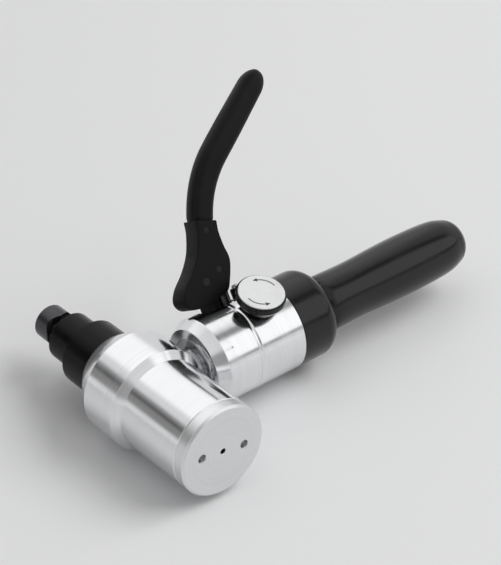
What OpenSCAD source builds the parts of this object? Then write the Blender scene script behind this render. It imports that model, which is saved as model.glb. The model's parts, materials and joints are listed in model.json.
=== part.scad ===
// Hand-hydraulic knockout punch: a pull cylinder with die and punch, on a right-angle swivel pump.
// Origin: centre of the die's face on the draw axis, where the tool meets the sheet.
// +X runs along the pump axis to the handle, +Y along the draw axis into the work, +Z is up.

/* [Die and punch] */
// Diameter of the hole that the punch cuts
hole_d = 22.5; // [18:0.5:25]
// Wall of the die round its cutting edge
die_wall = 4.55; // [3.5:0.05:6]
// Length of the die
die_len = 21.5; // [20:0.5:26]
// Thickness of the die's floor
die_floor = 6; // [4:0.5:7]
// Radial cutting clearance between punch and die
cut_clearance = 0.2; // [0.1:0.05:0.4]
// Length of the punch
punch_len = 14; // [11:0.5:18]
// Depth of the V cuts in the punch's edge
punch_rake = 4; // [2:0.5:6]
// Gap left for the sheet between die and punch
sheet_gap = 8; // [6.5:0.5:12]
// Diameter of the draw stud
stud_d = 9.5; // [8:0.5:11]
// Length of the stud that stands past the punch
stud_end = 6; // [3:0.5:10]

/* [Spacer sleeve] */
// Outer diameter of the spacer sleeve
spacer_d = 43.2; // [40:0.2:46]
// Length of the sleeve in front of the head
spacer_exposed = 25; // [22:0.5:32]
// Depth of the sleeve's seat in the head
spacer_seat = 4; // [2:0.5:6]

/* [Head] */
// Bore of the pull cylinder
bore_d = 44; // [42:0.5:48]
// Wall of the barrel
barrel_wall = 8; // [6:0.5:10]
// Height of the ring above the barrel
ring_step = 4; // [3:0.25:5]
// Width of the ring
ring_w = 26; // [24:0.5:28]
// Shift of the ring's middle from the pump axis towards the die
ring_lead = 0.75; // [0:0.25:1.5]
// Length of the chamfer between ring and barrel
ring_chamfer = 5; // [3:0.5:7]
// Rim of the nose round the spacer's seat
nose_rim = 2.9; // [2:0.1:4]
// Length of the screwed cap behind its joint line
cap_len = 8.5; // [7:0.5:12]
// Bevel round the cap's face
cap_bevel = 1.4; // [0.8:0.1:2.5]
// Length of the cap's threaded spigot
cap_spigot = 7; // [5:0.5:10]
// Diameter of the two pin-spanner holes
spanner_hole_d = 5; // [4:0.25:6]
// Distance between the pin-spanner holes
spanner_pitch = 31.4; // [28:0.2:36]
// Turn of the spanner holes from level
spanner_turn = 9; // [0:1:30]
// Diameter of the vent hole in the cap
vent_d = 3.6; // [2.5:0.1:4.5]

/* [Piston] */
// Diameter of the piston rod
rod_d = 24; // [22:0.5:26]
// Length of the piston
piston_len = 18; // [15:0.5:22]
// Stroke of the piston
stroke = 20; // [18:0.5:21]
// Wire of the return spring
spring_wire = 3; // [2.5:0.1:3.5]
// Turns of the return spring
spring_turns = 4.5; // [3.5:0.5:6]
// Length of the rod bush
bush_len = 12; // [10:0.5:16]

/* [Swivel] */
// Gap between the ring and the end of the pump
swivel_gap = 4.5; // [4:0.25:7]
// Diameter of the swivel neck
neck_d = 22; // [21:0.5:23]
// Diameter of the swivel nut
nut_d = 36; // [34:0.5:40]
// Length of the swivel nut
nut_len = 7.2; // [6:0.2:9]

/* [Pump body] */
// Diameter of the pump body
pump_d = 57.2; // [55:0.2:62]
// Length of the bright pump body
pump_len = 66; // [64:0.5:74]
// Length of the bevel at the swivel end
pump_bevel_len = 7.3; // [5:0.1:9]
// Depth of the bevel at the swivel end
pump_bevel = 4.4; // [3:0.1:6]
// Place of the turned groove from the swivel end
groove_place = 32.2; // [28:0.2:34]

/* [Lever and plunger] */
// Tilt of the lever plane from upright, away from the cap
lever_roll = 32; // [25:1:40]
// Distance of the lever pivot from the swivel end
pivot_reach = 25.5; // [24:0.25:27]
// Height of the lever pivot above the pump body
pivot_rise = 16.4; // [16.4:0.2:20]
// Swing of the lever from raised to folded
lever_swing = 50; // [40:1:52]
// Distance from the pivot pin to the link pin
link_reach = 12.1; // [11.5:0.1:12.6]
// Angle of the link pin above the pivot with the lever raised
link_angle = 18.3; // [14:0.1:20]
// Diameter of the pivot pin
pivot_pin_d = 5; // [4:0.25:5.25]
// Diameter of the link pin
link_pin_d = 4; // [3:0.25:4]
// Width of the lever yoke
yoke_w = 15; // [14.5:0.5:18]
// Gap between the yoke's cheeks
fork_gap = 9.6; // [9.4:0.1:10.4]
// Width of the lever handle in the plane of its swing
lever_w = 17; // [15:0.5:19]
// Thickness of the lever handle across the plane of its swing
lever_t = 15; // [12:0.5:16]
// Length of the lever handle past the yoke
lever_len = 108; // [90:1:120]
// Diameter of the pump plunger
plunger_d = 8; // [7:0.25:8]

/* [Release valve] */
// Tilt of the release knob from upright, towards the cap
knob_roll = 13.2; // [8:0.2:18]
// Diameter of the release knob
knob_d = 31.2; // [28:0.2:33]
// Height of the release knob
knob_h = 10.5; // [8:0.25:12]
// Diameter of the pale disc on the knob
disc_d = 29; // [24:0.2:30]
// Thickness of the pale disc
disc_t = 1.5; // [1:0.1:1.8]

/* [Reservoir handle] */
// Length of the reservoir collar
collar_len = 29.5; // [28:0.5:40]
// Rounding of the collar's shoulder
collar_round = 9.5; // [6:0.5:10]
// Length of the grip behind the collar
grip_len = 122; // [100:1:140]
// Radius of the grip at its belly
grip_belly = 19.2; // [18.5:0.1:20]
// Wall of the oil bladder
bladder_wall = 1.5; // [1:0.1:2]

/* [Fits] */
// Radial clearance of threads, spigots and running fits
fit = 0.05; // [0.02:0.01:0.08]
// Axial gap between pieces that move past each other
axial_gap = 0.3; // [0.2:0.05:0.5]
// Chamfer on turned edges
edge = 0.5; // [0.3:0.1:0.8]

/* [Hidden] */

$fn = 96;
over = 1;                       // how far a cut runs past the face that it opens

// Die and punch, from the die's face at y = 0
punch_r = hole_d / 2;
die_bore_r = punch_r + cut_clearance;
die_r = die_bore_r + die_wall;
stud_r = stud_d / 2;
stud_room = 0.5;
die_spigot = 3;
cut_half = 0.66 * punch_r;       // half the width of each V cut, which leaves four points
y_die_back = -die_len;
y_punch_end = sheet_gap + punch_len;
y_stud_end = y_punch_end + stud_end;

// Head, from the nose back to the cap
spacer_r = spacer_d / 2;
rod_r = rod_d / 2;
rod_room = 0.5;
spacer_bore_r = rod_r + rod_room;
bush_wall = 2.5;
seal_len = 4.5;
seal_depth = 3.5;
land = 2.25;
inlet_room = 4;
front_wall = spacer_seat + bush_len + seal_len + 2 * land;
bore_r = bore_d / 2;
barrel_r = bore_r + barrel_wall;
ring_r = barrel_r + ring_step;
nose_r = spacer_r + nose_rim;
y_nose = y_die_back - spacer_exposed;
y_seat = y_nose - spacer_seat;
y_bush = y_seat - bush_len;
y_rod_seal = y_bush - land - seal_len;
y_bore_end = y_nose - front_wall;
y_pump = y_bore_end - inlet_room;
y_ring_front = y_pump + ring_w / 2 + ring_lead;
y_ring_back = y_ring_front - ring_w;

// Piston, spring and cap
stud_engage = 16;
rod_setback = 8;
piston_collar_r = rod_r + 3;
spring_r = rod_r + 3;
spring_solid = (spring_turns + 1) * spring_wire;
spring_len = stroke + spring_solid + 2;
spring_guide_r = spring_r - spring_wire / 2 - 1;
spring_guide_len = 8;
y_piston = y_pump - inlet_room;
y_piston_back = y_piston - piston_len;
y_rod_front = y_die_back - rod_setback;
y_cap_inner = y_piston_back - spring_len;
y_joint = y_cap_inner - cap_spigot;
y_cap_back = y_joint - cap_len;
cap_spigot_r = bore_r + 2;
cap_seal_d = 1.8;
spanner_depth = 6;
hole_edge = 0.4;                // countersink at the mouth of the cap's holes

// Swivel, along x from the head's ring
oilway_r = 2.5;
spot_depth = 1;
nipple_thread_r = 10;
nipple_thread_len = 9;
washer_t = 1.2;
hex_t = 2;
hex_r = 14;
swivel_collar_len = 4;
swivel_spigot_len = 8;
neck_r = neck_d / 2;
swivel_collar_r = neck_r + 3.5;
swivel_spigot_r = neck_r - 2;
o_ring_d = 1.8;
seal_places = [0.3, 0.7];       // shares of the spigot's length
washer_r = hex_r - 1;
nut_hole_r = 1.5;
nut_hole_depth = 3;
x_spot = ring_r - spot_depth;
x_hex_end = x_spot + washer_t + hex_t;
x_pump = ring_r + swivel_gap;
x_nut_end = x_pump + nut_len;
x_swivel_collar = x_nut_end + axial_gap;
x_swivel_spigot = x_swivel_collar + swivel_collar_len;
x_swivel_end = x_swivel_spigot + swivel_spigot_len;
x_outlet_bore = x_swivel_end + axial_gap;

// Lever and plunger, in the lever plane: x along the pump, z out from its axis
pump_r = pump_d / 2;
flat_cut = 1.6;
flat_margin = 10;
groove_depth = 0.7;
groove_half = 1.6;
groove_round = (pow(groove_half, 2) + pow(groove_depth, 2)) / (2 * groove_depth);
index_turn = 47;                // from upright towards the cap
index_len = 6;
index_w = 1;
index_depth = 1;
index_from = 1;
flat_h = pump_r - flat_cut;
pivot_x = x_pump + pivot_reach;
pivot_h = pump_r + pivot_rise;
pin_room = 0.2;
eye_wall = 2;
head_wall = 1.6;
head_floor = 2.5;
side_gap = 0.3;
lug_t = fork_gap - 2 * side_gap;
eye_r = pivot_pin_d / 2 + eye_wall;
lug_stem_r = eye_r - eye_wall / 2;
lug_stem_len = 8;
link_low = link_angle - lever_swing;
link_x = pivot_x + link_reach * cos(link_angle);
link_h = pivot_h + link_reach * sin(link_angle);
plunger_stroke = link_reach * (sin(link_angle) - sin(link_low));
pin_drift = link_reach * (1 - cos(link_low));
pin_lag = link_reach * (sin(link_angle) - sin(link_angle - lever_swing / 2)) - plunger_stroke / 2;
slot_w = pin_drift + link_pin_d + 2 * pin_room;
slot_h = link_pin_d + pin_lag + 2 * pin_room;
slot_mid_h = link_h - pin_lag / 2;
head_w = slot_w + 2 * head_wall;
head_top = slot_mid_h + slot_h / 2 + head_floor;
head_low = slot_mid_h - slot_h / 2 - head_floor;
plunger_x = pivot_x + link_reach - pin_drift / 2;
plunger_r = plunger_d / 2;
plunger_reach = 12;
plunger_low = flat_h - plunger_reach;
chamber_r = plunger_r + fit;
chamber_room = 5;
chamber_low = plunger_low - plunger_stroke - chamber_room;
gland_r = plunger_r + 2;
gland_len = 5;
plunger_seal_len = 3;
plunger_seal_r = plunger_r + 1.8;
relief_r = 3.8;
relief_pitch = 10.6;
relief_low = 14;
relief_top = flat_h + 6;
relief_floor = 4;
relief_screw_r = 2.2;
relief_screw_len = 9;
relief_screw_rise = 1.6;
relief_hex_r = 1.3;
relief_x = plunger_x + relief_pitch;

// Check valves on the pump axis
valve_way_r = 1.4;
valve_ball_r = 2.5;
valve_bore_r = valve_ball_r + 0.7;
valve_spring_len = 3.1;
valve_spring_wire = 0.6;
valve_spring_r = valve_ball_r - 0.6;
valve_spring_in = 0.3;          // how far the ball sits in its spring
valve_turns = 3;
valve_seat_gap = 0.02;
seat_offset = sqrt(pow(valve_ball_r, 2) - pow(valve_way_r, 2)) + valve_seat_gap;
outlet_wall = 2.4;
inlet_wall = 3.5;
x_outlet_seat = plunger_x - chamber_r - outlet_wall;
x_outlet_ball = x_outlet_seat - seat_offset;
x_outlet_spring = x_outlet_ball - valve_ball_r - valve_spring_len;
x_inlet_bore = plunger_x + chamber_r + inlet_wall;
x_inlet_ball = x_inlet_bore + valve_spring_len + valve_ball_r;
x_inlet_seat = x_inlet_ball + seat_offset;
inlet_seat_len = 8;
inlet_bore_r = 5;
x_strainer = x_inlet_seat + inlet_seat_len;
strainer_wall = 0.6;

// Release valve, in the knob plane
knob_pitch = 9.6;
knob_x = plunger_x + knob_pitch;
knob_gap = 0.5;
knob_r = knob_d / 2;
knob_foot_r = knob_r - 4;
knob_rim = 4;
disc_r = disc_d / 2;
disc_sink = 0.8;
knob_flat = pump_r - 1.4;
release_way_r = 1.2;
release_way_h = 9.5;
release_ball_r = 2;
release_seat_h = release_way_h + 1.5;
release_ball_h = release_seat_h + sqrt(pow(release_ball_r, 2) - pow(release_way_r, 2)) + valve_seat_gap;
spindle_r = 4;
spindle_low = release_ball_h + release_ball_r + fit;
release_gland_len = 7.2;
release_gland_r = 8;
release_gland_low = knob_flat - release_gland_len;
spindle_seal_h = release_gland_low - 2;
return_way_h = 13;
knob_low = pump_r + knob_gap;
knob_top = knob_low + knob_h;
disc_floor = knob_top - disc_sink;
spindle_top = disc_floor - 2;
spindle_neck_r = 3.4;
knob_screw_r = 1.5;
knob_screw_head_r = 3.2;
knob_screw_head = 1.4;
knob_screw_len = 8;

// Reservoir handle, along x behind the pump body
x_collar = x_pump + pump_len;
body_thread_len = 11.5;
body_thread_r = pump_r - 4.1;
x_rear = x_collar + body_thread_len;
flange_r = body_thread_r - 2.5;
bladder_flange_t = 2.6;
grip_flange_t = 5.4;
x_grip = x_rear + bladder_flange_t;
x_grip_step = x_grip + grip_flange_t;
x_collar_end = x_collar + collar_len;
grip_neck_r = 17.3;
x_handle_end = x_collar_end + grip_len;
bladder_r = 12.6;
grip_bore_r = bladder_r + 0.4;
grip_end_wall = 14;
x_bladder_end = x_handle_end - grip_end_wall - 8;
plug_r = 6;
plug_head_r = 8.5;
plug_head = 3;
plug_len = 9;
plug_hex_r = 3.5;
plug_hex_depth = 5;
plug_seal_t = 1;

// Handle spine: it leaves the yoke at one angle and bends to the other
spine_start = [14.9, 34.6];
spine_from = 70;
spine_to = 35;
spine_bend = 46;
spine_steps = 40;
spine_step = lever_len / spine_steps;
spine_side = [-sin(spine_from), cos(spine_from)];
yoke_top = 7.6;
handle_sides = 24;
section_power = 0.72;           // squares the handle's oval section off
palm_swell = 0.04;
palm_share = 0.97;
end_round = 13;
end_share = 0.03;

// Outline of the yoke from the pivot, in the lever plane: down the left side, round the nose
// and foot, up the right
yoke_points = [spine_start + yoke_top * spine_side, [6.2, 29.6], [1.2, 18.5], [-6.6, 9.2], [-16, 1],
    [-19.6, -6], [-16.6, -11.8], [-9, -13.6], [3, -12.6], [11.6, -10.9], [16.4, -4.6], [21.2, 6.5],
    [20.6, 16], [20.6, 25],
    spine_start - yoke_top * spine_side];
fork_r = 7;
fork_reach = 36;
fork_top = 13;
tang_len = 13;
tang_w = 10;
tang_t = 7;
handle_pin_d = 4;
handle_pin_in = 6;
// Grip radius along its length, as [share of the length, radius]
neck_step = 1.5;
grip_shape = [[0, grip_neck_r - 1.2], [0.028, grip_neck_r - 1], [0.055, grip_neck_r + 0.5],
    [0.1, grip_neck_r + 1.1], [0.28, grip_neck_r + 0.7], [0.6, grip_belly],
    [0.85, grip_belly - 0.8], [0.95, grip_belly - 3.4], [0.985, grip_belly - 5.6], [1, grip_belly - 7.8]];

// Local z runs along the draw axis, at the part's own y
module draw_axis() { rotate([-90, 0, 0]) children(); }
// Local z runs along the pump axis, at the part's own x
module pump_axis() { translate([0, y_pump, 0]) rotate([0, 90, 0]) children(); }
// Local x runs along the pump and local z out from it, in the plane of the lever
module lever_plane() { translate([0, y_pump, 0]) rotate([-lever_roll, 0, 0]) children(); }
// The same for the release knob, with local z on the spindle's axis
module knob_axis() {
    translate([0, y_pump, 0]) rotate([knob_roll, 0, 0]) translate([knob_x, 0, 0]) children();
}
// A solid of revolution from its outline as [radius, height] points
module turned(outline) {
    last = outline[len(outline) - 1];
    rotate_extrude() polygon(concat([[0, outline[0][1]]], outline, [[0, last[1]]]));
}
// A round bar or hole of radius r from height a to height b
module bar(r, a, b) { translate([0, 0, a]) cylinder(r = r, h = b - a); }
// A tube from height a to height b
module tube(r_out, r_in, a, b) {
    difference() {
        bar(r_out, a, b);
        bar(r_in, a - over, b + over);
    }
}
// A seal ring of round section with its outside at radius r
module o_ring(r, d, h) {
    translate([0, 0, h]) rotate_extrude() translate([r - d / 2, 0]) circle(d = d, $fn = 32);
}
// The groove that an O-ring of section d needs in a shaft of radius r
module o_ring_groove(r, d, h) { tube(r + over, r - d, h - d / 2 - fit, h + d / 2 + fit); }

// Points of a Catmull-Rom curve through p, with n steps to each stretch
function stretch(a, b, c, d, t) =
    0.5 * (2 * b + (c - a) * t + (2 * a - 5 * b + 4 * c - d) * t * t + (3 * b - a - 3 * c + d) * t * t * t);
function curve(p, n) = concat([for (i = [0:len(p) - 2], k = [0:n - 1])
    stretch(p[max(i - 1, 0)], p[i], p[i + 1], p[min(i + 2, len(p) - 1)], k / n)], [p[len(p) - 1]]);

// Faces of a solid swept through rings of m points each
function swept_faces(rings, m) = concat(
    [[for (j = [0:m - 1]) j]],
    [for (i = [0:rings - 2], j = [0:m - 1])
        [i * m + j, (i + 1) * m + j, (i + 1) * m + (j + 1) % m, i * m + (j + 1) % m]],
    [[for (j = [m - 1:-1:0]) (rings - 1) * m + j]]);

// A coil spring along z from height a to height b, with r to the middle of its wire
module coil(r, wire, turns, a, b, steps = 18, sides = 6) {
    rings = floor(turns * steps) + 1;
    rise = (b - a - wire) / (rings - 1);
    points = [for (i = [0:rings - 1], j = [0:sides - 1])
        let (turn = 360 * i / steps, round = 360 * j / sides, out = r + wire / 2 * cos(round))
        [out * cos(turn), out * sin(turn), a + wire / 2 + rise * i - wire / 2 * sin(round)]];
    polyhedron(points, swept_faces(rings, sides));
}

// Head

module cylinder_body() color("silver") difference() {
    draw_axis() difference() {
        turned([[barrel_r - edge, y_joint], [barrel_r, y_joint + edge],
            [barrel_r, y_ring_back - ring_chamfer], [ring_r, y_ring_back], [ring_r, y_ring_front],
            [nose_r, y_nose]]);
        bar(cap_spigot_r + fit, y_joint - over, y_cap_inner);
        bar(bore_r, y_joint - over, y_bore_end);
        bar(rod_r + rod_room, y_joint - over, y_nose + over);
        bar(rod_r + seal_depth, y_rod_seal, y_rod_seal + seal_len);
        bar(rod_r + bush_wall + fit, y_bush, y_nose + over);
        bar(spacer_r + fit, y_seat, y_nose + over);
    }
    pump_axis() {
        bar(nipple_thread_r + fit, x_spot - nipple_thread_len, ring_r + over);
        bar(hex_r + edge, x_spot, ring_r + over);
        bar(oilway_r, bore_r - land, x_spot);
    }
}

module cylinder_cap() color("gainsboro") draw_axis() difference() {
    turned([[barrel_r - cap_bevel, y_cap_back], [barrel_r, y_cap_back + cap_bevel],
        [barrel_r, y_joint - edge], [barrel_r - edge, y_joint], [cap_spigot_r, y_joint],
        [cap_spigot_r, y_cap_inner]]);
    bar(vent_d / 2, y_cap_back - over, y_cap_inner + over);
    countersink(vent_d / 2);
    rotate(spanner_turn) for (side = [-1, 1]) translate([side * spanner_pitch / 2, 0, 0]) {
        bar(spanner_hole_d / 2, y_cap_back - over, y_cap_back + spanner_depth);
        countersink(spanner_hole_d / 2);
    }
    o_ring_groove(cap_spigot_r, cap_seal_d, y_joint + cap_spigot / 2);
}

// The broken edge of a hole of radius r in the cap's face
module countersink(r) {
    translate([0, 0, y_cap_back]) cylinder(r1 = r + hole_edge, r2 = r, h = hole_edge);
}

module cap_seal() color("black") draw_axis() o_ring(cap_spigot_r, cap_seal_d, y_joint + cap_spigot / 2);

module rod_bush() color("peru") draw_axis() tube(rod_r + bush_wall, rod_r + fit, y_bush, y_seat);

module rod_seal() color("dimgray") draw_axis()
    tube(rod_r + seal_depth - fit, rod_r + fit, y_rod_seal + fit, y_rod_seal + seal_len - fit);

module spacer_sleeve() color("#1b1b1d") draw_axis() difference() {
    turned([[spacer_r - edge, y_seat], [spacer_r, y_seat + edge], [spacer_r, y_die_back - 2 * edge],
        [spacer_r - 2 * edge, y_die_back]]);
    bar(spacer_bore_r, y_seat - over, y_die_back + over);
}

module die() color("#161618") draw_axis() difference() {
    turned([[spacer_bore_r - fit, y_die_back - die_spigot], [spacer_bore_r - fit, y_die_back],
        [die_r, y_die_back], [die_r, -edge], [die_r - edge, 0]]);
    bar(die_bore_r, y_die_back + die_floor, over);
    bar(stud_r + stud_room, y_die_back - die_spigot - over, over);
}

// Piston, stud and punch

module piston() color("lightsteelblue") draw_axis() difference() {
    turned([[spring_guide_r - edge, y_piston_back - spring_guide_len],
        [spring_guide_r, y_piston_back - spring_guide_len + edge],
        [spring_guide_r, y_piston_back], [bore_r - fit, y_piston_back], [bore_r - fit, y_piston],
        [piston_collar_r, y_piston], [piston_collar_r, y_bore_end - axial_gap],
        [rod_r, y_bore_end - axial_gap], [rod_r, y_rod_front - edge], [rod_r - edge, y_rod_front]]);
    tube(bore_r + over, bore_r - seal_depth, y_piston - land - seal_len, y_piston - land);
    bar(stud_r + fit, y_rod_front - stud_engage, y_rod_front + over);
}

module piston_seal() color("dimgray") draw_axis()
    tube(bore_r - fit, bore_r - seal_depth + fit, y_piston - land - seal_len + fit, y_piston - land - fit);

module return_spring() color("slategray") draw_axis()
    coil(spring_r, spring_wire, spring_turns, y_cap_inner + fit, y_piston_back - fit, steps = 20, sides = 8);

module draw_stud() color("#2a2a2c") draw_axis()
    turned([[stud_r - edge, y_rod_front - stud_engage], [stud_r, y_rod_front - stud_engage + edge],
        [stud_r, y_stud_end - 2 * edge], [stud_r - 2 * edge, y_stud_end]]);

// The cutting edge has four points, left by two V cuts that cross
module punch() color("#242426") draw_axis() difference() {
    turned([[punch_r, sheet_gap], [punch_r, y_punch_end - 2 * edge], [punch_r - 2 * edge, y_punch_end]]);
    bar(stud_r + fit, sheet_gap - over, y_punch_end + over);
    for (turn = [45, 135]) rotate(turn) rotate([90, 0, 0])
        linear_extrude(hole_d + over, center = true)
            polygon([[-cut_half, sheet_gap - fit], [cut_half, sheet_gap - fit], [0, sheet_gap + punch_rake]]);
}

// Swivel

module swivel_nipple() color("slategray") pump_axis() difference() {
    union() {
        bar(nipple_thread_r, x_spot - nipple_thread_len, x_hex_end);
        translate([0, 0, x_spot + washer_t]) cylinder(r = hex_r, h = hex_t, $fn = 6);
        turned([[neck_r, x_hex_end], [neck_r, x_swivel_collar], [swivel_collar_r, x_swivel_collar],
            [swivel_collar_r, x_swivel_spigot], [swivel_spigot_r, x_swivel_spigot],
            [swivel_spigot_r, x_swivel_end - edge], [swivel_spigot_r - edge, x_swivel_end]]);
    }
    bar(oilway_r, x_spot - nipple_thread_len - over, x_swivel_end + over);
    for (place = seal_places)
        o_ring_groove(swivel_spigot_r, o_ring_d, x_swivel_spigot + place * swivel_spigot_len);
}

module nipple_washer() color("gainsboro") pump_axis()
    tube(washer_r, nipple_thread_r + fit, x_spot, x_spot + washer_t);

module swivel_seals() color("black") pump_axis() for (place = seal_places)
    o_ring(swivel_spigot_r, o_ring_d, x_swivel_spigot + place * swivel_spigot_len);

module swivel_nut() color("dimgray") pump_axis() difference() {
    turned([[nut_d / 2 - edge, x_pump], [nut_d / 2, x_pump + edge], [nut_d / 2, x_nut_end]]);
    bar(neck_r + axial_gap, x_pump - over, x_nut_end + over);
    for (side = [-1, 1]) translate([0, side * (nut_d / 2 + neck_r) / 2, 0])
        bar(nut_hole_r, x_pump - over, x_pump + nut_hole_depth);
}

// Pump body and what is screwed into it

module pump_outline() {
    turned([[pump_r - pump_bevel, x_pump], [pump_r, x_pump + pump_bevel_len], [pump_r, x_collar - edge],
        [pump_r - edge, x_collar], [body_thread_r, x_collar], [body_thread_r, x_rear - edge],
        [body_thread_r - edge, x_rear]]);
}

module pump_body() color("silver") difference() {
    pump_axis() difference() {
        pump_outline();
        translate([0, 0, x_pump + groove_place]) rotate_extrude()
            translate([pump_r - groove_depth + groove_round, 0]) circle(r = groove_round);
        bar(nut_d / 2 + fit, x_pump - over, x_nut_end);
        bar(swivel_collar_r + axial_gap, x_pump, x_swivel_spigot + axial_gap);
        bar(swivel_spigot_r + fit, x_pump, x_outlet_bore);
        bar(valve_bore_r, x_outlet_bore - over, x_outlet_seat);
        bar(valve_way_r, x_outlet_seat - over, x_inlet_bore + over);
        bar(inlet_bore_r, x_inlet_bore, x_rear + over);
    }
    translate([x_pump + pump_bevel_len + index_from, y_pump, 0]) rotate([index_turn, 0, 0])
        translate([0, -index_w / 2, pump_r - index_depth]) cube([index_len, index_w, pump_r]);
    lever_plane() {
        translate([pivot_x - flat_margin, -pump_r, flat_h])
            cube([relief_x - pivot_x + 2 * flat_margin, pump_d, pump_d]);
        translate([plunger_x, 0, 0]) {
            bar(gland_r + fit, flat_h - gland_len, pump_r);
            bar(plunger_seal_r, flat_h - gland_len - plunger_seal_len, pump_r);
            bar(chamber_r, chamber_low, pump_r);
        }
        translate([pivot_x, 0, 0]) bar(lug_stem_r + fit, flat_h - lug_stem_len - over, pump_r);
        translate([relief_x, 0, 0]) bar(relief_r + fit, relief_low, pump_r);
    }
    knob_axis() {
        bar(release_gland_r + over, knob_flat, pump_r + over);
        bar(release_gland_r + fit, release_gland_low, pump_r);
        bar(spindle_r + fit, release_seat_h, pump_r);
        bar(release_way_r, release_way_h, pump_r);
        translate([x_outlet_bore - knob_x - fit, 0, release_way_h]) rotate([0, 90, 0])
            cylinder(r = release_way_r, h = knob_x - x_outlet_bore + fit);
        translate([0, 0, return_way_h]) rotate([0, 90, 0])
            cylinder(r = release_way_r, h = x_rear - knob_x + over);
    }
}

module outlet_retainer() color("goldenrod") pump_axis()
    tube(valve_bore_r - fit, valve_way_r, x_outlet_bore, x_outlet_spring);

module outlet_spring() color("slategray") pump_axis()
    coil(valve_spring_r, valve_spring_wire, valve_turns, x_outlet_spring,
        x_outlet_ball - valve_ball_r + valve_spring_in,
        steps = 14);

module outlet_ball() color("lightgray") pump_axis() translate([0, 0, x_outlet_ball]) sphere(valve_ball_r);

module inlet_spring() color("slategray") pump_axis()
    coil(valve_spring_r, valve_spring_wire, valve_turns, x_inlet_bore,
        x_inlet_ball - valve_ball_r + valve_spring_in,
        steps = 14);

module inlet_ball() color("lightgray") pump_axis() translate([0, 0, x_inlet_ball]) sphere(valve_ball_r);

module inlet_seat() color("goldenrod") pump_axis()
    tube(inlet_bore_r - fit, valve_way_r, x_inlet_seat, x_strainer);

module suction_strainer() color("darkgoldenrod") pump_axis() difference() {
    bar(inlet_bore_r - fit, x_strainer, x_rear + bladder_flange_t);
    bar(inlet_bore_r - fit - strainer_wall, x_strainer - over, x_rear + bladder_flange_t - strainer_wall);
}

module plunger_gland() color("slategray") lever_plane() translate([plunger_x, 0, 0])
    tube(gland_r, plunger_r + fit, flat_h - gland_len, flat_h);

module plunger_seal() color("black") lever_plane() translate([plunger_x, 0, 0])
    tube(plunger_seal_r - fit, plunger_r + fit, flat_h - gland_len - plunger_seal_len + fit,
        flat_h - gland_len - fit);

// The link pin runs in a slot across the plunger's head
module plunger() color("lightgray") lever_plane() translate([plunger_x, 0, 0]) difference() {
    union() {
        turned([[plunger_r - edge, plunger_low], [plunger_r, plunger_low + edge],
            [plunger_r, head_low + over]]);
        translate([-head_w / 2, -lug_t / 2, head_low]) cube([head_w, lug_t, head_top - head_low]);
    }
    for (side = [-1, 1]) translate([side * (slot_w - slot_h) / 2, 0, slot_mid_h])
        rotate([90, 0, 0]) cylinder(d = slot_h, h = lug_t + over, center = true);
    translate([0, 0, slot_mid_h]) cube([slot_w - slot_h, lug_t + over, slot_h], center = true);
}

module pivot_lug() color("#202022") lever_plane() translate([pivot_x, 0, 0]) difference() {
    union() {
        bar(lug_stem_r, flat_h - lug_stem_len, flat_h + over);
        translate([-eye_r, -lug_t / 2, flat_h]) cube([2 * eye_r, lug_t, pivot_h - flat_h]);
        translate([0, 0, pivot_h]) rotate([90, 0, 0]) cylinder(r = eye_r, h = lug_t, center = true);
    }
    translate([0, 0, pivot_h]) rotate([90, 0, 0])
        cylinder(d = pivot_pin_d + 2 * fit, h = lug_t + over, center = true);
}

module relief_sleeve() color("#202022") lever_plane() translate([relief_x, 0, 0]) difference() {
    turned([[relief_r, relief_low], [relief_r, relief_top - edge], [relief_r - edge, relief_top]]);
    bar(relief_screw_r + fit, relief_low + relief_floor, relief_top + over);
}

module relief_screw() color("lightgray") lever_plane() translate([relief_x, 0, 0]) difference() {
    turned([[relief_screw_r, relief_top - relief_screw_len], [relief_screw_r, relief_top + relief_screw_rise],
        [relief_screw_r - edge, relief_top + relief_screw_rise + edge]]);
    translate([0, 0, relief_top]) cylinder(r = relief_hex_r, h = relief_screw_len, $fn = 6);
}

// Lever

module at_pivot() { lever_plane() translate([pivot_x, 0, pivot_h]) children(); }
// A plate in the lever plane, as thick as t
module plate(t) { rotate([90, 0, 0]) linear_extrude(t, center = true) children(); }
module tang(room) {
    translate([spine_start[0], 0, spine_start[1]]) rotate([0, 90 - spine_from, 0])
        translate([0, 0, -tang_len / 2])
            cube([tang_w + 2 * room, tang_t + 2 * room, tang_len + 2 * room], center = true);
}
module handle_pin_bar(r, t) {
    translate([spine_start[0] - handle_pin_in * cos(spine_from), 0,
        spine_start[1] - handle_pin_in * sin(spine_from)])
        rotate([90, 0, 0]) cylinder(r = r, h = t, center = true);
}

module lever_yoke() color("#19191b") at_pivot() difference() {
    plate(yoke_w) polygon(curve(yoke_points, 5));
    plate(fork_gap) {
        circle(r = fork_r);
        translate([0, -fork_reach]) square([fork_reach, fork_top + fork_reach]);
        translate([-fork_r, -fork_reach]) square([2 * fork_r, fork_reach]);
    }
    rotate([90, 0, 0]) cylinder(d = pivot_pin_d + 2 * fit, h = yoke_w + over, center = true);
    translate([link_x - pivot_x, 0, link_h - pivot_h]) rotate([90, 0, 0])
        cylinder(d = link_pin_d + 2 * fit, h = yoke_w + over, center = true);
    tang(fit);
    handle_pin_bar(handle_pin_d / 2 + fit, yoke_w + over);
}

// The handle's spine: angle and place at a distance s from the yoke
function spine_angle(s) = s < spine_bend ? spine_from + (spine_to - spine_from) * s / spine_bend : spine_to;
function spine(i) = i == 0 ? spine_start
    : let (a = spine_angle((i - 0.5) * spine_step)) spine(i - 1) + spine_step * [cos(a), sin(a)];
// Share of the full section at a distance s: a rounded far end, and a slight swell for the palm
function spine_swell(s) = palm_share - palm_swell * cos(360 * s / lever_len);
function spine_close(s) = s > lever_len - end_round
    ? sqrt(max(end_share, 1 - pow((s - lever_len + end_round) / end_round, 2))) : 1;
function rounded(c) = sign(c) * pow(abs(c), section_power);

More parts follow.
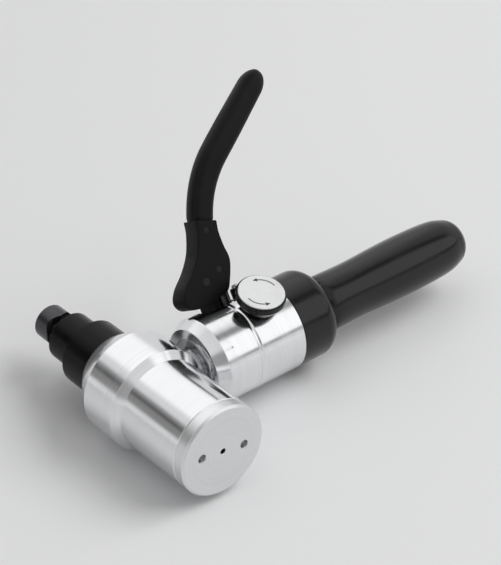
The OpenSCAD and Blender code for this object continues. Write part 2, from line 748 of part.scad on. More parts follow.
module lever_handle() color("#151517") at_pivot() difference() {
    union() {
        tang(0);
        polyhedron([for (i = [0:spine_steps], j = [0:handle_sides - 1])
            let (s = i * spine_step, a = spine_angle(s), p = spine(i),
                round = 360 * (j + 0.5) / handle_sides,
                share = spine_swell(s) * spine_close(s),
                out = lever_w / 2 * share * rounded(cos(round)),
                side = lever_t / 2 * share * rounded(sin(round)))
            [p[0] - out * sin(a), -side, p[1] + out * cos(a)]],
            swept_faces(spine_steps + 1, handle_sides));
    }
    handle_pin_bar(handle_pin_d / 2 + fit, yoke_w + over);
}

module handle_pin() color("#303033") at_pivot() handle_pin_bar(handle_pin_d / 2, yoke_w - 2 * side_gap);
module pivot_pin() color("#303033") at_pivot() rotate([90, 0, 0])
    cylinder(d = pivot_pin_d, h = yoke_w - side_gap, center = true);
module link_pin() color("#303033") lever_plane() translate([link_x, 0, link_h]) rotate([90, 0, 0])
    cylinder(d = link_pin_d, h = yoke_w - side_gap, center = true);

// Release valve

module release_gland() color("slategray") knob_axis()
    tube(release_gland_r, spindle_r + fit, release_gland_low, knob_flat);

module release_ball() color("lightgray") knob_axis() translate([0, 0, release_ball_h]) sphere(release_ball_r);

module release_spindle() color("slategray") knob_axis() difference() {
    turned([[spindle_r - edge, spindle_low], [spindle_r, spindle_low + edge], [spindle_r, knob_low],
        [spindle_neck_r, knob_low], [spindle_neck_r, spindle_top]]);
    o_ring_groove(spindle_r, o_ring_d, spindle_seal_h);
    bar(knob_screw_r + fit, spindle_top - knob_screw_len, spindle_top + over);
}

module spindle_seal() color("black") knob_axis() o_ring(spindle_r, o_ring_d, spindle_seal_h);

module release_knob() color("#18181a") knob_axis() difference() {
    turned([[knob_foot_r - edge, knob_low], [knob_foot_r, knob_low + edge], [knob_r, knob_top - knob_rim],
        [knob_r, knob_top - edge], [knob_r - edge, knob_top]]);
    bar(spindle_neck_r + fit, knob_low - over, spindle_top);
    bar(knob_screw_r + fit, knob_low, knob_top + over);
    bar(knob_screw_head_r + fit, disc_floor - knob_screw_head, knob_top + over);
    bar(disc_r + fit, disc_floor, knob_top + over);
}

module knob_screw() color("lightgray") knob_axis() {
    bar(knob_screw_head_r, disc_floor - knob_screw_head, disc_floor);
    bar(knob_screw_r, spindle_top - knob_screw_len, disc_floor);
}

module knob_disc() color("whitesmoke") knob_axis()
    turned([[disc_r, disc_floor], [disc_r, disc_floor + disc_t - edge / 2],
        [disc_r - edge / 2, disc_floor + disc_t]]);

// Reservoir handle

module reservoir_collar() color("#1a1a1c") pump_axis() difference() {
    rotate_extrude() {
        translate([0, x_collar]) square([pump_r, collar_len - collar_round]);
        translate([0, x_collar]) square([pump_r - collar_round, collar_len]);
        translate([pump_r - collar_round, x_collar_end - collar_round]) circle(r = collar_round);
    }
    bar(body_thread_r + fit, x_collar - over, x_rear);
    bar(flange_r + fit, x_collar, x_grip_step);
    bar(grip_neck_r + fit, x_collar, x_collar_end + over);
}

module oil_bladder() color("#101010") pump_axis() difference() {
    turned([[flange_r, x_rear], [flange_r, x_grip], [bladder_r, x_grip],
        [bladder_r, x_bladder_end - 2 * edge], [bladder_r - 2 * edge, x_bladder_end]]);
    bar(bladder_r - bladder_wall, x_rear - over, x_bladder_end - bladder_wall);
}

module handle_grip() color("#141416") pump_axis() difference() {
    turned(concat([[flange_r, x_grip], [flange_r, x_grip_step], [grip_neck_r, x_grip_step],
        [grip_neck_r, x_collar_end - neck_step]], [for (p = curve(grip_shape, 5))
            [p[1], x_collar_end - neck_step + p[0] * (grip_len + neck_step)]]));
    bar(grip_bore_r, x_grip - over, x_handle_end - grip_end_wall);
    bar(plug_r + fit, x_handle_end - grip_end_wall - over, x_handle_end + over);
    bar(plug_head_r + fit, x_handle_end - plug_head, x_handle_end + over);
}

module filler_plug() color("#2b2b2d") pump_axis() difference() {
    turned([[plug_r, x_handle_end - plug_len], [plug_r, x_handle_end - plug_head + plug_seal_t],
        [plug_head_r, x_handle_end - plug_head + plug_seal_t], [plug_head_r, x_handle_end - edge],
        [plug_head_r - edge, x_handle_end]]);
    translate([0, 0, x_handle_end - plug_hex_depth])
        cylinder(r = plug_hex_r, h = plug_hex_depth + over, $fn = 6);
}

module filler_seal() color("black") pump_axis()
    tube(plug_head_r, plug_r + fit, x_handle_end - plug_head, x_handle_end - plug_head + plug_seal_t);

cylinder_body();
cylinder_cap();
cap_seal();
rod_bush();
rod_seal();
spacer_sleeve();
die();
piston();
piston_seal();
return_spring();
draw_stud();
punch();
swivel_nipple();
nipple_washer();
swivel_seals();
swivel_nut();
pump_body();
outlet_retainer();
outlet_spring();
outlet_ball();
inlet_spring();
inlet_ball();
inlet_seat();
suction_strainer();
plunger_gland();
plunger_seal();
plunger();
pivot_lug();
relief_sleeve();
relief_screw();
lever_yoke();
lever_handle();
handle_pin();
pivot_pin();
link_pin();
release_gland();
release_ball();
release_spindle();
spindle_seal();
release_knob();
knob_screw();
knob_disc();
reservoir_collar();
oil_bladder();
handle_grip();
filler_plug();
filler_seal();
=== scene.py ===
"""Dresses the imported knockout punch: its finishes, stud, spring, lever and grip, and a studio round it."""

from __future__ import annotations

import json
import logging
import math
from dataclasses import dataclass, field
from enum import Enum
from typing import Any, Callable, Sequence

import bmesh
import bpy
from mathutils import Matrix, Vector

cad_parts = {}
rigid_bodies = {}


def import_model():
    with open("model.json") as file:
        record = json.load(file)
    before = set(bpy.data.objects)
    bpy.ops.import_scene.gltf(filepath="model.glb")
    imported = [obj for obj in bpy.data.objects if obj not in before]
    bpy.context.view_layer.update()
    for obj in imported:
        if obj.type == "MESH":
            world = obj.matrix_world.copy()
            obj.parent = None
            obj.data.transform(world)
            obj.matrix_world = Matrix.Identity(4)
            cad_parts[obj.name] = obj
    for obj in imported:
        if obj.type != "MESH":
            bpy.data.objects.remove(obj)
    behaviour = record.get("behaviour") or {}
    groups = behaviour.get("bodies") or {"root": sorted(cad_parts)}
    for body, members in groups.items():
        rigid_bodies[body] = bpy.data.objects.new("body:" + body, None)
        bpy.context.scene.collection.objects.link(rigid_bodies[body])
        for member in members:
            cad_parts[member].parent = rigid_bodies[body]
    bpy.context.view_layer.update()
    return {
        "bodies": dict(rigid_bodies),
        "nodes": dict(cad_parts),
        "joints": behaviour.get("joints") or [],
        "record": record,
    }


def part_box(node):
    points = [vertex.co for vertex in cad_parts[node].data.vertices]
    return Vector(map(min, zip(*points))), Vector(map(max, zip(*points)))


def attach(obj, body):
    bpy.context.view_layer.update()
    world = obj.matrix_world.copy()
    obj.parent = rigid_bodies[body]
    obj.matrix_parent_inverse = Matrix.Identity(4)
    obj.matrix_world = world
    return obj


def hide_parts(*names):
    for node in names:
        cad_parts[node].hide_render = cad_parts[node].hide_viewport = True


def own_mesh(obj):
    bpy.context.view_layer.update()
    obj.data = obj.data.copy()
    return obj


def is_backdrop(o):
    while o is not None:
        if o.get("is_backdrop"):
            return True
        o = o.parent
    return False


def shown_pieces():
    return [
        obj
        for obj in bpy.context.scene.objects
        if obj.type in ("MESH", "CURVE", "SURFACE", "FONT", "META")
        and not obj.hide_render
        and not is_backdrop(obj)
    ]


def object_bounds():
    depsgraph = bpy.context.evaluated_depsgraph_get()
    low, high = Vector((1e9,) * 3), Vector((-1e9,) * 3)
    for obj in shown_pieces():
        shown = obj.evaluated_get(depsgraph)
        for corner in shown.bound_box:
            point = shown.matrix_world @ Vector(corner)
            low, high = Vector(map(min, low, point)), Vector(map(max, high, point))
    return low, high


log = logging.getLogger("knockout_punch")

Colour = tuple[float, float, float]
Socket = bpy.types.NodeSocket

MM = 0.001
FULL_TURN = 2.0 * math.pi
PHOTO_WIDTH = 501
PHOTO_HEIGHT = 565
ORIGIN = Vector((0.0, 0.0, 0.0))
UP = Vector((0.0, 0.0, 1.0))
WHITE = (1.0, 1.0, 1.0, 1.0)
WELD_WITHIN = 0.002 * MM
FLAT_WITHIN = math.radians(0.5)


class Way(Enum):
    """The axis that a piece was turned, drawn or moulded about."""

    DRAW = "draw"
    PUMP = "pump"
    LEVER = "lever"
    PLUNGER = "plunger"
    KNOB = "knob"


# The ways that run along one of the frame's own axes.
TURNED_ABOUT = {Way.DRAW: "Y", Way.PUMP: "X"}


def joint_named(joints: Sequence[dict], name: str) -> dict:
    """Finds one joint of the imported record.

    Args:
        joints: The record's joints.
        name: The joint's name.

    Returns:
        The joint's entry.
    """
    return next(joint for joint in joints if joint["name"] == name)


@dataclass
class Axes:
    """The part's working axes, read from its joints.

    Args:
        joints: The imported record's joints.

    Attributes:
        pump_y: Where the pump's axis crosses y.
        pivot: A point on the lever's axis.
        lever_axis: The lever's axis.
        frames: For each way, the matrix from the part's frame to one whose z is that axis.
    """

    joints: Sequence[dict]
    pump_y: float = field(init=False)
    pivot: Vector = field(init=False)
    lever_axis: Vector = field(init=False)
    frames: dict[Way, Matrix] = field(init=False)

    def __post_init__(self) -> None:
        """Reads the axes and works out their frames."""
        names = ("pump_swivel", "lever_swing", "plunger_slide", "release_turn")
        swivel, lever, plunger, knob = (joint_named(self.joints, name) for name in names)
        self.pump_y = swivel["pos_m"][1]
        self.pivot = Vector(lever["pos_m"])
        self.lever_axis = Vector(lever["axis"]).normalized()
        self.frames = {
            Way.DRAW: self.onto_z(ORIGIN, Vector((0.0, 1.0, 0.0))),
            Way.PUMP: self.onto_z(Vector(swivel["pos_m"]), Vector(swivel["axis"])),
            Way.LEVER: self.onto_z(self.pivot, self.lever_axis),
            Way.PLUNGER: self.onto_z(self.pivot, -Vector(plunger["axis"])),
            Way.KNOB: self.onto_z(Vector(knob["pos_m"]), Vector(knob["axis"])),
        }

    @staticmethod
    def onto_z(place: Vector, axis: Vector) -> Matrix:
        """Makes the matrix that lays an axis on z.

        Args:
            place: A point on the axis.
            axis: The axis' direction.

        Returns:
            The matrix from the part's frame to the axis' own.
        """
        turn = axis.normalized().rotation_difference(UP).to_matrix().to_4x4()
        return turn @ Matrix.Translation(-place)

    def lever_plane(self) -> Matrix:
        """Makes the matrix from the lever's plane, with x along the pump and z outwards, to the part's frame.

        Returns:
            The matrix, with its origin on the lever's pivot.
        """
        along = Vector((1.0, 0.0, 0.0))
        out = along.cross(self.lever_axis)
        turn = Matrix((along, self.lever_axis, out)).transposed().to_4x4()
        return Matrix.Translation(self.pivot) @ turn


class NodeSheet:
    """Adds nodes to one shader tree and wires them.

    Args:
        tree: The tree of a material, a world or a group.
    """

    MIX_COLOURS = (6, 7)
    MIX_RESULT = 2

    def __init__(self, tree: bpy.types.NodeTree) -> None:
        """Keeps the tree."""
        self.tree = tree

    def put(self, value: Any, socket: Socket) -> None:
        """Links an output to an input, or sets the input's own value.

        Args:
            value: Another node's output, or a value.
            socket: The input.
        """
        if isinstance(value, Socket):
            self.tree.links.new(value, socket)
        else:
            socket.default_value = value

    def add(self, kind: str, inputs: dict[str | int, Any] | None = None, **settings: Any) -> bpy.types.Node:
        """Adds a node, and sets or links its inputs.

        Args:
            kind: The node's type.
            inputs: A value, or another node's output, for each named input.
            settings: The node's own properties.

        Returns:
            The new node.
        """
        node = self.tree.nodes.new(kind)
        for name, value in settings.items():
            setattr(node, name, value)
        for name, value in (inputs or {}).items():
            self.put(value, node.inputs[name])
        return node

    def math(self, operation: str, first: Any, second: Any = 0.0) -> Socket:
        """Adds one step of arithmetic.

        Args:
            operation: The step's name.
            first: A value or an output.
            second: A value or an output.

        Returns:
            The result.
        """
        return self.add("ShaderNodeMath", {0: first, 1: second}, operation=operation).outputs[0]

    def ramp(self, value: Socket, low: float, high: float, to_low: Any = 0.0, to_high: Any = 1.0,
             smooth: bool = True) -> Socket:
        """Carries one range of values onto another.

        Args:
            value: What is carried over.
            low: The start of its range.
            high: The end of its range.
            to_low: What the start becomes.
            to_high: What the end becomes.
            smooth: Whether the ends of the range are eased.

        Returns:
            The result.
        """
        kind = "SMOOTHSTEP" if smooth else "LINEAR"
        node = self.add("ShaderNodeMapRange", {"Value": value, "From Min": low, "From Max": high,
                        "To Min": to_low, "To Max": to_high}, interpolation_type=kind)
        return node.outputs["Result"]

    def noise(self, place: Socket, values: dict[str, Any], flat: bool = False) -> Socket:
        """Adds a noise.

        Args:
            place: Where it is read.
            values: Its scale, its detail and its other inputs.
            flat: Whether it is read in two dimensions.

        Returns:
            The noise, from 0 to 1.
        """
        kind = "2D" if flat else "3D"
        node = self.add("ShaderNodeTexNoise", {"Vector": place, **values}, noise_dimensions=kind)
        return node.outputs["Fac"]

    def mix(self, factor: Socket, first: Any, second: Any) -> Socket:
        """Mixes two colours.

        Args:
            factor: The share of the second colour.
            first: A colour or an output.
            second: A colour or an output.

        Returns:
            The mixed colour.
        """
        node = self.add("ShaderNodeMix", {"Factor": factor}, data_type="RGBA")
        for place, colour in zip(self.MIX_COLOURS, (first, second)):
            self.put(colour if isinstance(colour, Socket) else (*colour, 1.0), node.inputs[place])
        return node.outputs[self.MIX_RESULT]


class Effects:
    """The shader groups that several finishes share, each built once.

    A pair of numbers is the range of a noise, or of the cosine of an edge's bend, that a mask rises over.
    """

    BROAD_PITCH = 0.09
    BROAD_SHARE = 0.35
    TONE = (0.45, 0.9)
    SPECKLE = (0.56, 0.74)
    SMUDGE = (0.4, 0.72)
    SCRATCH = (0.66, 0.74)
    SCRATCH_PITCH = 2.5
    SCRATCH_TURN = (0.5, 0.9, 0.3)
    SCRATCH_STRETCH = (1.0, 14.0, 1.6)
    EDGE_BEND = (0.995, 0.9)
    EDGE_PATCH = (0.4, 0.68)
    EDGE_PATCHES_PER_METRE = 260.0

    def __init__(self) -> None:
        """Builds the groups."""
        number, vector = "NodeSocketFloat", "NodeSocketVector"
        pitched = {"Vector": vector, "Per Metre": number}
        rounded = {"Vector": vector, "Radius": number}
        self.turning = self.group("turning_marks", pitched, {"Height": number, "Tone": number},
                                  self.fill_turning)
        self.grain = self.group("fine_grain", pitched, {"Height": number, "Speckle": number},
                                self.fill_grain)
        self.handling = self.group("handling", pitched, {"Smudge": number, "Scratch": number},
                                   self.fill_handling)
        self.edge = self.group("edge_wear", rounded, {"Wear": number, "Normal": vector}, self.fill_edge)

    @staticmethod
    def group(name: str, inputs: dict[str, str], outputs: dict[str, str],
              fill: Callable[[NodeSheet, Any, Any], None]) -> bpy.types.NodeTree:
        """Makes one shader group.

        Args:
            name: The group's name.
            inputs: The socket type of each input.
            outputs: The socket type of each output.
            fill: What adds its nodes.

        Returns:
            The group.
        """
        tree = bpy.data.node_groups.new(name, "ShaderNodeTree")
        for side, sockets in (("INPUT", inputs), ("OUTPUT", outputs)):
            for label, kind in sockets.items():
                tree.interface.new_socket(name=label, in_out=side, socket_type=kind)
        sheet = NodeSheet(tree)
        fill(sheet, sheet.add("NodeGroupInput").outputs, sheet.add("NodeGroupOutput").inputs)
        return tree

    def fill_turning(self, sheet: NodeSheet, given: Any, made: Any) -> None:
        """Rings round z: fine tool marks, and broader bands where the cut varied.

        Args:
            sheet: The group's nodes.
            given: The group's inputs.
            made: The group's outputs.
        """
        apart = sheet.add("ShaderNodeSeparateXYZ", {"Vector": given["Vector"]}).outputs
        flat = sheet.add("ShaderNodeCombineXYZ", {"X": apart["X"], "Y": apart["Y"]}).outputs[0]
        radius = sheet.add("ShaderNodeVectorMath", {0: flat}, operation="LENGTH").outputs["Value"]
        place = sheet.add("ShaderNodeCombineXYZ", {"X": radius, "Y": apart["Z"]}).outputs[0]
        pitch = given["Per Metre"]
        broad_pitch = sheet.math("MULTIPLY", pitch, self.BROAD_PITCH)
        fine = sheet.noise(place, {"Scale": pitch, "Detail": 3.0, "Roughness": 0.7}, flat=True)
        broad = sheet.noise(place, {"Scale": broad_pitch, "Detail": 2.0}, flat=True)
        mostly_fine = sheet.math("ADD", fine, sheet.math("MULTIPLY", broad, self.BROAD_SHARE))
        sheet.put(fine, made["Height"])
        sheet.put(sheet.ramp(mostly_fine, *self.TONE), made["Tone"])

    def fill_grain(self, sheet: NodeSheet, given: Any, made: Any) -> None:
        """The grain of a mould or of a coating, with pale specks.

        Args:
            sheet: The group's nodes.
            given: The group's inputs.
            made: The group's outputs.
        """
        place, pitch = given["Vector"], given["Per Metre"]
        cells = sheet.add("ShaderNodeTexVoronoi", {"Vector": place, "Scale": pitch}, feature="SMOOTH_F1")
        noise = sheet.noise(place, {"Scale": pitch, "Detail": 2.0})
        sheet.put(sheet.math("SUBTRACT", noise, cells.outputs["Distance"]), made["Height"])
        sheet.put(sheet.ramp(noise, *self.SPECKLE), made["Speckle"])

    def fill_handling(self, sheet: NodeSheet, given: Any, made: Any) -> None:
        """Soft smudges from hands, and a few short scratches.

        Args:
            sheet: The group's nodes.
            given: The group's inputs.
            made: The group's outputs.
        """
        place, pitch = given["Vector"], given["Per Metre"]
        stretched = sheet.add("ShaderNodeMapping", {"Vector": place, "Rotation": self.SCRATCH_TURN,
                              "Scale": self.SCRATCH_STRETCH}).outputs["Vector"]
        scratch_pitch = sheet.math("MULTIPLY", pitch, self.SCRATCH_PITCH)
        smudge = sheet.noise(place, {"Scale": pitch, "Detail": 4.0, "Roughness": 0.62, "Distortion": 0.7})
        scratch = sheet.noise(stretched, {"Scale": scratch_pitch, "Detail": 3.0})
        sheet.put(sheet.ramp(smudge, *self.SMUDGE), made["Smudge"])
        sheet.put(sheet.ramp(scratch, *self.SCRATCH), made["Scratch"])

    def fill_edge(self, sheet: NodeSheet, given: Any, made: Any) -> None:
        """Rounded edges, and a broken mask along them where the finish has worn.

        Args:
            sheet: The group's nodes.
            given: The group's inputs.
            made: The group's outputs.
        """
        round_normal = sheet.add("ShaderNodeBevel", {"Radius": given["Radius"]}, samples=4).outputs["Normal"]
        face_normal = sheet.add("ShaderNodeNewGeometry").outputs["Normal"]
        agree = sheet.add("ShaderNodeVectorMath", {0: round_normal, 1: face_normal}, operation="DOT_PRODUCT")
        bend = sheet.ramp(agree.outputs["Value"], *self.EDGE_BEND)
        noise = sheet.noise(given["Vector"], {"Scale": self.EDGE_PATCHES_PER_METRE, "Detail": 3.0,
                            "Roughness": 0.7})
        sheet.put(sheet.math("MULTIPLY", bend, sheet.ramp(noise, *self.EDGE_PATCH)), made["Wear"])
        sheet.put(round_normal, made["Normal"])


@dataclass
class Workbench:
    """What every finish needs to make a material.

    Args:
        effects: The shared shader groups.
        axes: The part's axes.
        made: The materials made so far, by name.
    """

    effects: Effects
    axes: Axes
    made: dict[str, bpy.types.Material] = field(default_factory=dict)


class Surface:
    """A material in the making.

    Args:
        bench: The shared groups and axes.
        material: The material.
        way: The axis that its marks run round.
    """

    def __init__(self, bench: Workbench, material: bpy.types.Material, way: Way) -> None:
        """Finds the shader, and the surface's place with z along the axis."""
        material.use_nodes = True
        self.way = way
        self.effects = bench.effects
        self.sheet = NodeSheet(material.node_tree)
        self.shader = material.node_tree.nodes["Principled BSDF"]
        frame = bench.axes.frames[way]
        local = self.sheet.add("ShaderNodeTexCoord").outputs["Object"]
        self.place = self.sheet.add("ShaderNodeMapping", {"Vector": local, "Rotation": frame.to_euler(),
                                    "Location": frame.to_translation()}).outputs["Vector"]

    def use(self, tree: bpy.types.NodeTree, values: dict[str, float]) -> Any:
        """Places a shared group.

        Args:
            tree: The group.
            values: Its own inputs.

        Returns:
            The group's outputs.
        """
        return self.sheet.add("ShaderNodeGroup", {"Vector": self.place, **values}, node_tree=tree).outputs

    def coat(self, colour: Socket, rough: Socket, height: Socket, normal: Socket, depth: float) -> None:
        """Wires what changes over the surface to the shader.

        Args:
            colour: The surface's colour.
            rough: How much it blurs.
            height: Its relief.
            normal: The normal under the relief.
            depth: Depth of the relief, in metres.
        """
        relief = self.sheet.add("ShaderNodeBump", {"Height": height, "Normal": normal, "Distance": depth,
                                "Strength": 1.0}).outputs["Normal"]
        for name, output in (("Base Color", colour), ("Roughness", rough), ("Normal", relief)):
            self.sheet.put(output, self.shader.inputs[name])


@dataclass(frozen=True)
class Finish:
    """A finish, made into one material for each axis that it is used about.

    Args:
        name: The finish's name.
        colour: Its main colour.
        marked: Its colour in the hollows of its marks, or where it is worn or rubbed.
        roughness: How much it blurs.
        spread: How much more it blurs where it was handled.
    """

    name: str
    colour: Colour
    marked: Colour
    roughness: float
    spread: float

    def material(self, bench: Workbench, way: Way) -> bpy.types.Material:
        """Makes the finish's material for pieces about one axis, or finds it.

        Args:
            bench: The shared groups and axes.
            way: The axis that the finish's marks run round.

        Returns:
            The material.
        """
        label = f"{self.name}_{way.value}"
        if label not in bench.made:
            bench.made[label] = bpy.data.materials.new(label)
            self.fill(Surface(bench, bench.made[label], way))
        return bench.made[label]

    def blur(self, surface: Surface, smudge: Socket) -> Socket:
        """Blurs the surface more where it was handled."""
        return surface.sheet.ramp(smudge, 0.0, 1.0, self.roughness, self.roughness + self.spread)

    def fill(self, surface: Surface) -> None:
        """Adds the finish's nodes to a material."""
        raise NotImplementedError


@dataclass(frozen=True)
class Metal(Finish):
    """A bare metal.

    Args:
        pitch: Tool marks per metre.
        depth: Depth of the marks, in metres.
        stretch: How far the marks stretch its highlights.
        edge: Radius of its broken edges, in metres.
        smudges: Smudges per metre.
        scratch_blur: How much more it blurs in a scratch.
    """

    pitch: float = 2600.0
    depth: float = 4e-6
    stretch: float = 0.0
    edge: float = 0.35 * MM
    smudges: float = 38.0
    scratch_blur: float = 0.08

    def fill(self, surface: Surface) -> None:
        """Adds the metal's nodes to a material.

        Args:
            surface: The material in the making.
        """
        sheet, effects, inputs = surface.sheet, surface.effects, surface.shader.inputs
        cut = surface.use(effects.turning, {"Per Metre": self.pitch})
        touch = surface.use(effects.handling, {"Per Metre": self.smudges})
        edge = surface.use(effects.edge, {"Radius": self.edge})
        colour = sheet.mix(cut["Tone"], self.marked, self.colour)
        scratched = sheet.math("MULTIPLY", touch["Scratch"], self.scratch_blur)
        rough = sheet.math("ADD", self.blur(surface, touch["Smudge"]), scratched)
        surface.coat(colour, rough, cut["Height"], edge["Normal"], self.depth)
        inputs["Metallic"].default_value = 1.0
        inputs["Anisotropic"].default_value = self.stretch
        if self.stretch and surface.way in TURNED_ABOUT:
            axis = TURNED_ABOUT[surface.way]
            tangent = sheet.add("ShaderNodeTangent", direction_type="RADIAL", axis=axis).outputs[0]
            sheet.put(tangent, inputs["Tangent"])


@dataclass(frozen=True)
class Blacked(Finish):
    """A black coating on steel, worn to metal at its edges.

    Args:
        metal: How metallic the coating is.
        worn: How much of the edges is worn.
        specular: How strongly it mirrors.
        pitch: Tool marks per metre under the coating.
        grains: Grains of the coating per metre.
        grain_share: Height of the grain against that of the marks.
        depth: Depth of the marks, in metres.
        edge: Radius of its broken edges, in metres.
        smudges: Smudges per metre.
        lift: How many times lighter a smudge is.
        polish: How much less it blurs where it is worn.
    """

    metal: float
    worn: float
    specular: float = 0.3
    pitch: float = 1500.0
    grains: float = 2400.0
    grain_share: float = 0.6
    depth: float = 8e-6
    edge: float = 0.4 * MM
    smudges: float = 45.0
    lift: float = 1.7
    polish: float = 0.12

    def fill(self, surface: Surface) -> None:
        """Adds the coating's nodes to a material.

        Args:
            surface: The material in the making.
        """
        sheet, effects, inputs = surface.sheet, surface.effects, surface.shader.inputs
        cut = surface.use(effects.turning, {"Per Metre": self.pitch})
        grain = surface.use(effects.grain, {"Per Metre": self.grains})
        touch = surface.use(effects.handling, {"Per Metre": self.smudges})
        edge = surface.use(effects.edge, {"Radius": self.edge})
        wear = sheet.math("MULTIPLY", edge["Wear"], self.worn)
        lighter = tuple(self.lift * channel for channel in self.colour)
        coating = sheet.mix(touch["Smudge"], self.colour, lighter)
        height = sheet.math("ADD", cut["Height"], sheet.math("MULTIPLY", grain["Height"], self.grain_share))
        polished = sheet.math("MULTIPLY", wear, self.polish)
        rough = sheet.math("SUBTRACT", self.blur(surface, touch["Smudge"]), polished)
        surface.coat(sheet.mix(wear, coating, self.marked), rough, height, edge["Normal"], self.depth)
        sheet.put(sheet.ramp(wear, 0.0, 1.0, self.metal, 1.0), inputs["Metallic"])
        inputs["Specular IOR Level"].default_value = self.specular


@dataclass(frozen=True)
class Moulded(Finish):
    """A moulded plastic or rubber.

    Args:
        specular: How strongly it mirrors.
        grains: Grains per metre.
        depth: Depth of the grain, in metres.
        edge: Radius of its edges, in metres.
        smudges: Smudges per metre.
        smudge_share: How pale a smudge is.
        wear_share: How pale a worn edge is.
        speck_share: How pale a speck is.
    """

    specular: float = 0.3
    grains: float = 2200.0
    depth: float = 2.5e-5
    edge: float = 0.5 * MM
    smudges: float = 30.0
    smudge_share: float = 0.35
    wear_share: float = 0.45
    speck_share: float = 0.12

    def fill(self, surface: Surface) -> None:
        """Adds the moulding's nodes to a material.

        Args:
            surface: The material in the making.
        """
        sheet, effects = surface.sheet, surface.effects
        grain = surface.use(effects.grain, {"Per Metre": self.grains})
        touch = surface.use(effects.handling, {"Per Metre": self.smudges})
        edge = surface.use(effects.edge, {"Radius": self.edge})
        smudged = sheet.math("MULTIPLY", touch["Smudge"], self.smudge_share)
        rubbed = sheet.math("ADD", smudged, sheet.math("MULTIPLY", edge["Wear"], self.wear_share))
        speckled = sheet.math("ADD", rubbed, sheet.math("MULTIPLY", grain["Speckle"], self.speck_share))
        colour = sheet.mix(speckled, self.colour, self.marked)
        rough = self.blur(surface, touch["Smudge"])
        surface.coat(colour, rough, grain["Height"], edge["Normal"], self.depth)
        surface.shader.inputs["Specular IOR Level"].default_value = self.specular


@dataclass(frozen=True)
class PrintedDisc(Finish):
    """A pale satin disc, printed with two arrows for the turn of a valve.

    Args:
        ink: The colour of the arrows.
        ring: Radius of the arrows' line, in metres.
        line: Half the width of the line, in metres.
        head: Half the width of an arrow's head, in metres.
        soft: How far the ink's edges blur, in metres.
        start: Angle at which a line starts, in radians.
        sweep: Angle at which it ends and its head starts, in radians.
        tip: Angle that a head takes, in radians.
        thin: Share of the ink that stays on a speck.
        hollow_share: How much a smudge or a speck shades the disc.
        metal: How metallic the disc is.
        grains: Grains per metre.
        depth: Depth of the grain, in metres.
        edge: Radius of its edge, in metres.
        smudges: Smudges per metre.
    """

    ink: Colour
    ring: float = 10.4 * MM
    line: float = 0.42 * MM
    head: float = 1.5 * MM
    soft: float = 0.12 * MM
    start: float = 0.02
    sweep: float = 1.15
    tip: float = 0.3
    thin: float = 0.82
    hollow_share: float = 0.5
    metal: float = 0.15
    grains: float = 1100.0
    depth: float = 8e-6
    edge: float = 0.25 * MM
    smudges: float = 60.0

    def arrows(self, sheet: NodeSheet, place: Socket) -> Socket:
        """Masks the two arrows.

        Args:
            sheet: The material's nodes.
            place: The surface's place, with z along the knob's axis.

        Returns:
            The mask, 1 on the ink.
        """
        apart = sheet.add("ShaderNodeSeparateXYZ", {"Vector": place}).outputs
        full_turn = sheet.math("ADD", sheet.math("ARCTAN2", apart["Y"], apart["X"]), FULL_TURN)
        turn = sheet.math("MODULO", full_turn, math.pi)
        squares = sheet.math("ADD", *(sheet.math("POWER", apart[name], 2.0) for name in ("X", "Y")))
        off = sheet.math("ABSOLUTE", sheet.math("SUBTRACT", sheet.math("SQRT", squares), self.ring))
        along = sheet.math("MULTIPLY", sheet.math("LESS_THAN", turn, self.sweep),
                           sheet.math("GREATER_THAN", turn, self.start))
        on_line = sheet.ramp(off, self.line - self.soft, self.line + self.soft, 1.0, 0.0)
        taper = sheet.ramp(turn, self.sweep, self.sweep + self.tip, self.head, 0.0, smooth=False)
        on_head = sheet.ramp(sheet.math("SUBTRACT", off, taper), -self.soft, self.soft, 1.0, 0.0)
        beyond = sheet.math("MULTIPLY", sheet.math("GREATER_THAN", turn, self.sweep),
                            sheet.math("LESS_THAN", turn, self.sweep + self.tip))
        return sheet.math("MAXIMUM", sheet.math("MULTIPLY", along, on_line),
                          sheet.math("MULTIPLY", on_head, beyond))

    def fill(self, surface: Surface) -> None:
        """Adds the disc's nodes to a material.

        Args:
            surface: The material in the making.
        """
        sheet, effects = surface.sheet, surface.effects
        grain = surface.use(effects.grain, {"Per Metre": self.grains})
        touch = surface.use(effects.handling, {"Per Metre": self.smudges})
        edge = surface.use(effects.edge, {"Radius": self.edge})
        covered = sheet.ramp(grain["Speckle"], 0.0, 1.0, 1.0, self.thin)
        inked = sheet.math("MULTIPLY", self.arrows(sheet, surface.place), covered)
        handled = sheet.math("ADD", touch["Smudge"], grain["Speckle"])
        plain = sheet.mix(sheet.math("MULTIPLY", handled, self.hollow_share), self.colour, self.marked)
        rough = self.blur(surface, touch["Smudge"])
        surface.coat(sheet.mix(inked, plain, self.ink), rough, grain["Height"], edge["Normal"], self.depth)
        surface.shader.inputs["Metallic"].default_value = self.metal


BRIGHT = Metal("bright_aluminium", (0.83, 0.835, 0.845), marked=(0.77, 0.775, 0.79),
               roughness=0.12, spread=0.06, depth=2.2e-6, stretch=0.4)
SATIN = Metal("faced_aluminium", (0.80, 0.805, 0.81), marked=(0.74, 0.745, 0.755),
              roughness=0.30, spread=0.06, pitch=1900.0, depth=3e-6, stretch=0.3)
GROUND = Metal("ground_steel", (0.60, 0.60, 0.61), marked=(0.52, 0.52, 0.54), roughness=0.22, spread=0.10)
WIRE = Metal("drawn_wire", (0.42, 0.42, 0.44), marked=(0.30, 0.30, 0.32), roughness=0.30, spread=0.10)
BRONZE = Metal("machined_bronze", (0.62, 0.42, 0.20), marked=(0.48, 0.31, 0.14), roughness=0.24, spread=0.10)
SILVER = PrintedDisc("printed_disc", (0.87, 0.875, 0.88), marked=(0.72, 0.725, 0.735),
                     roughness=0.42, spread=0.1, ink=(0.06, 0.06, 0.065))
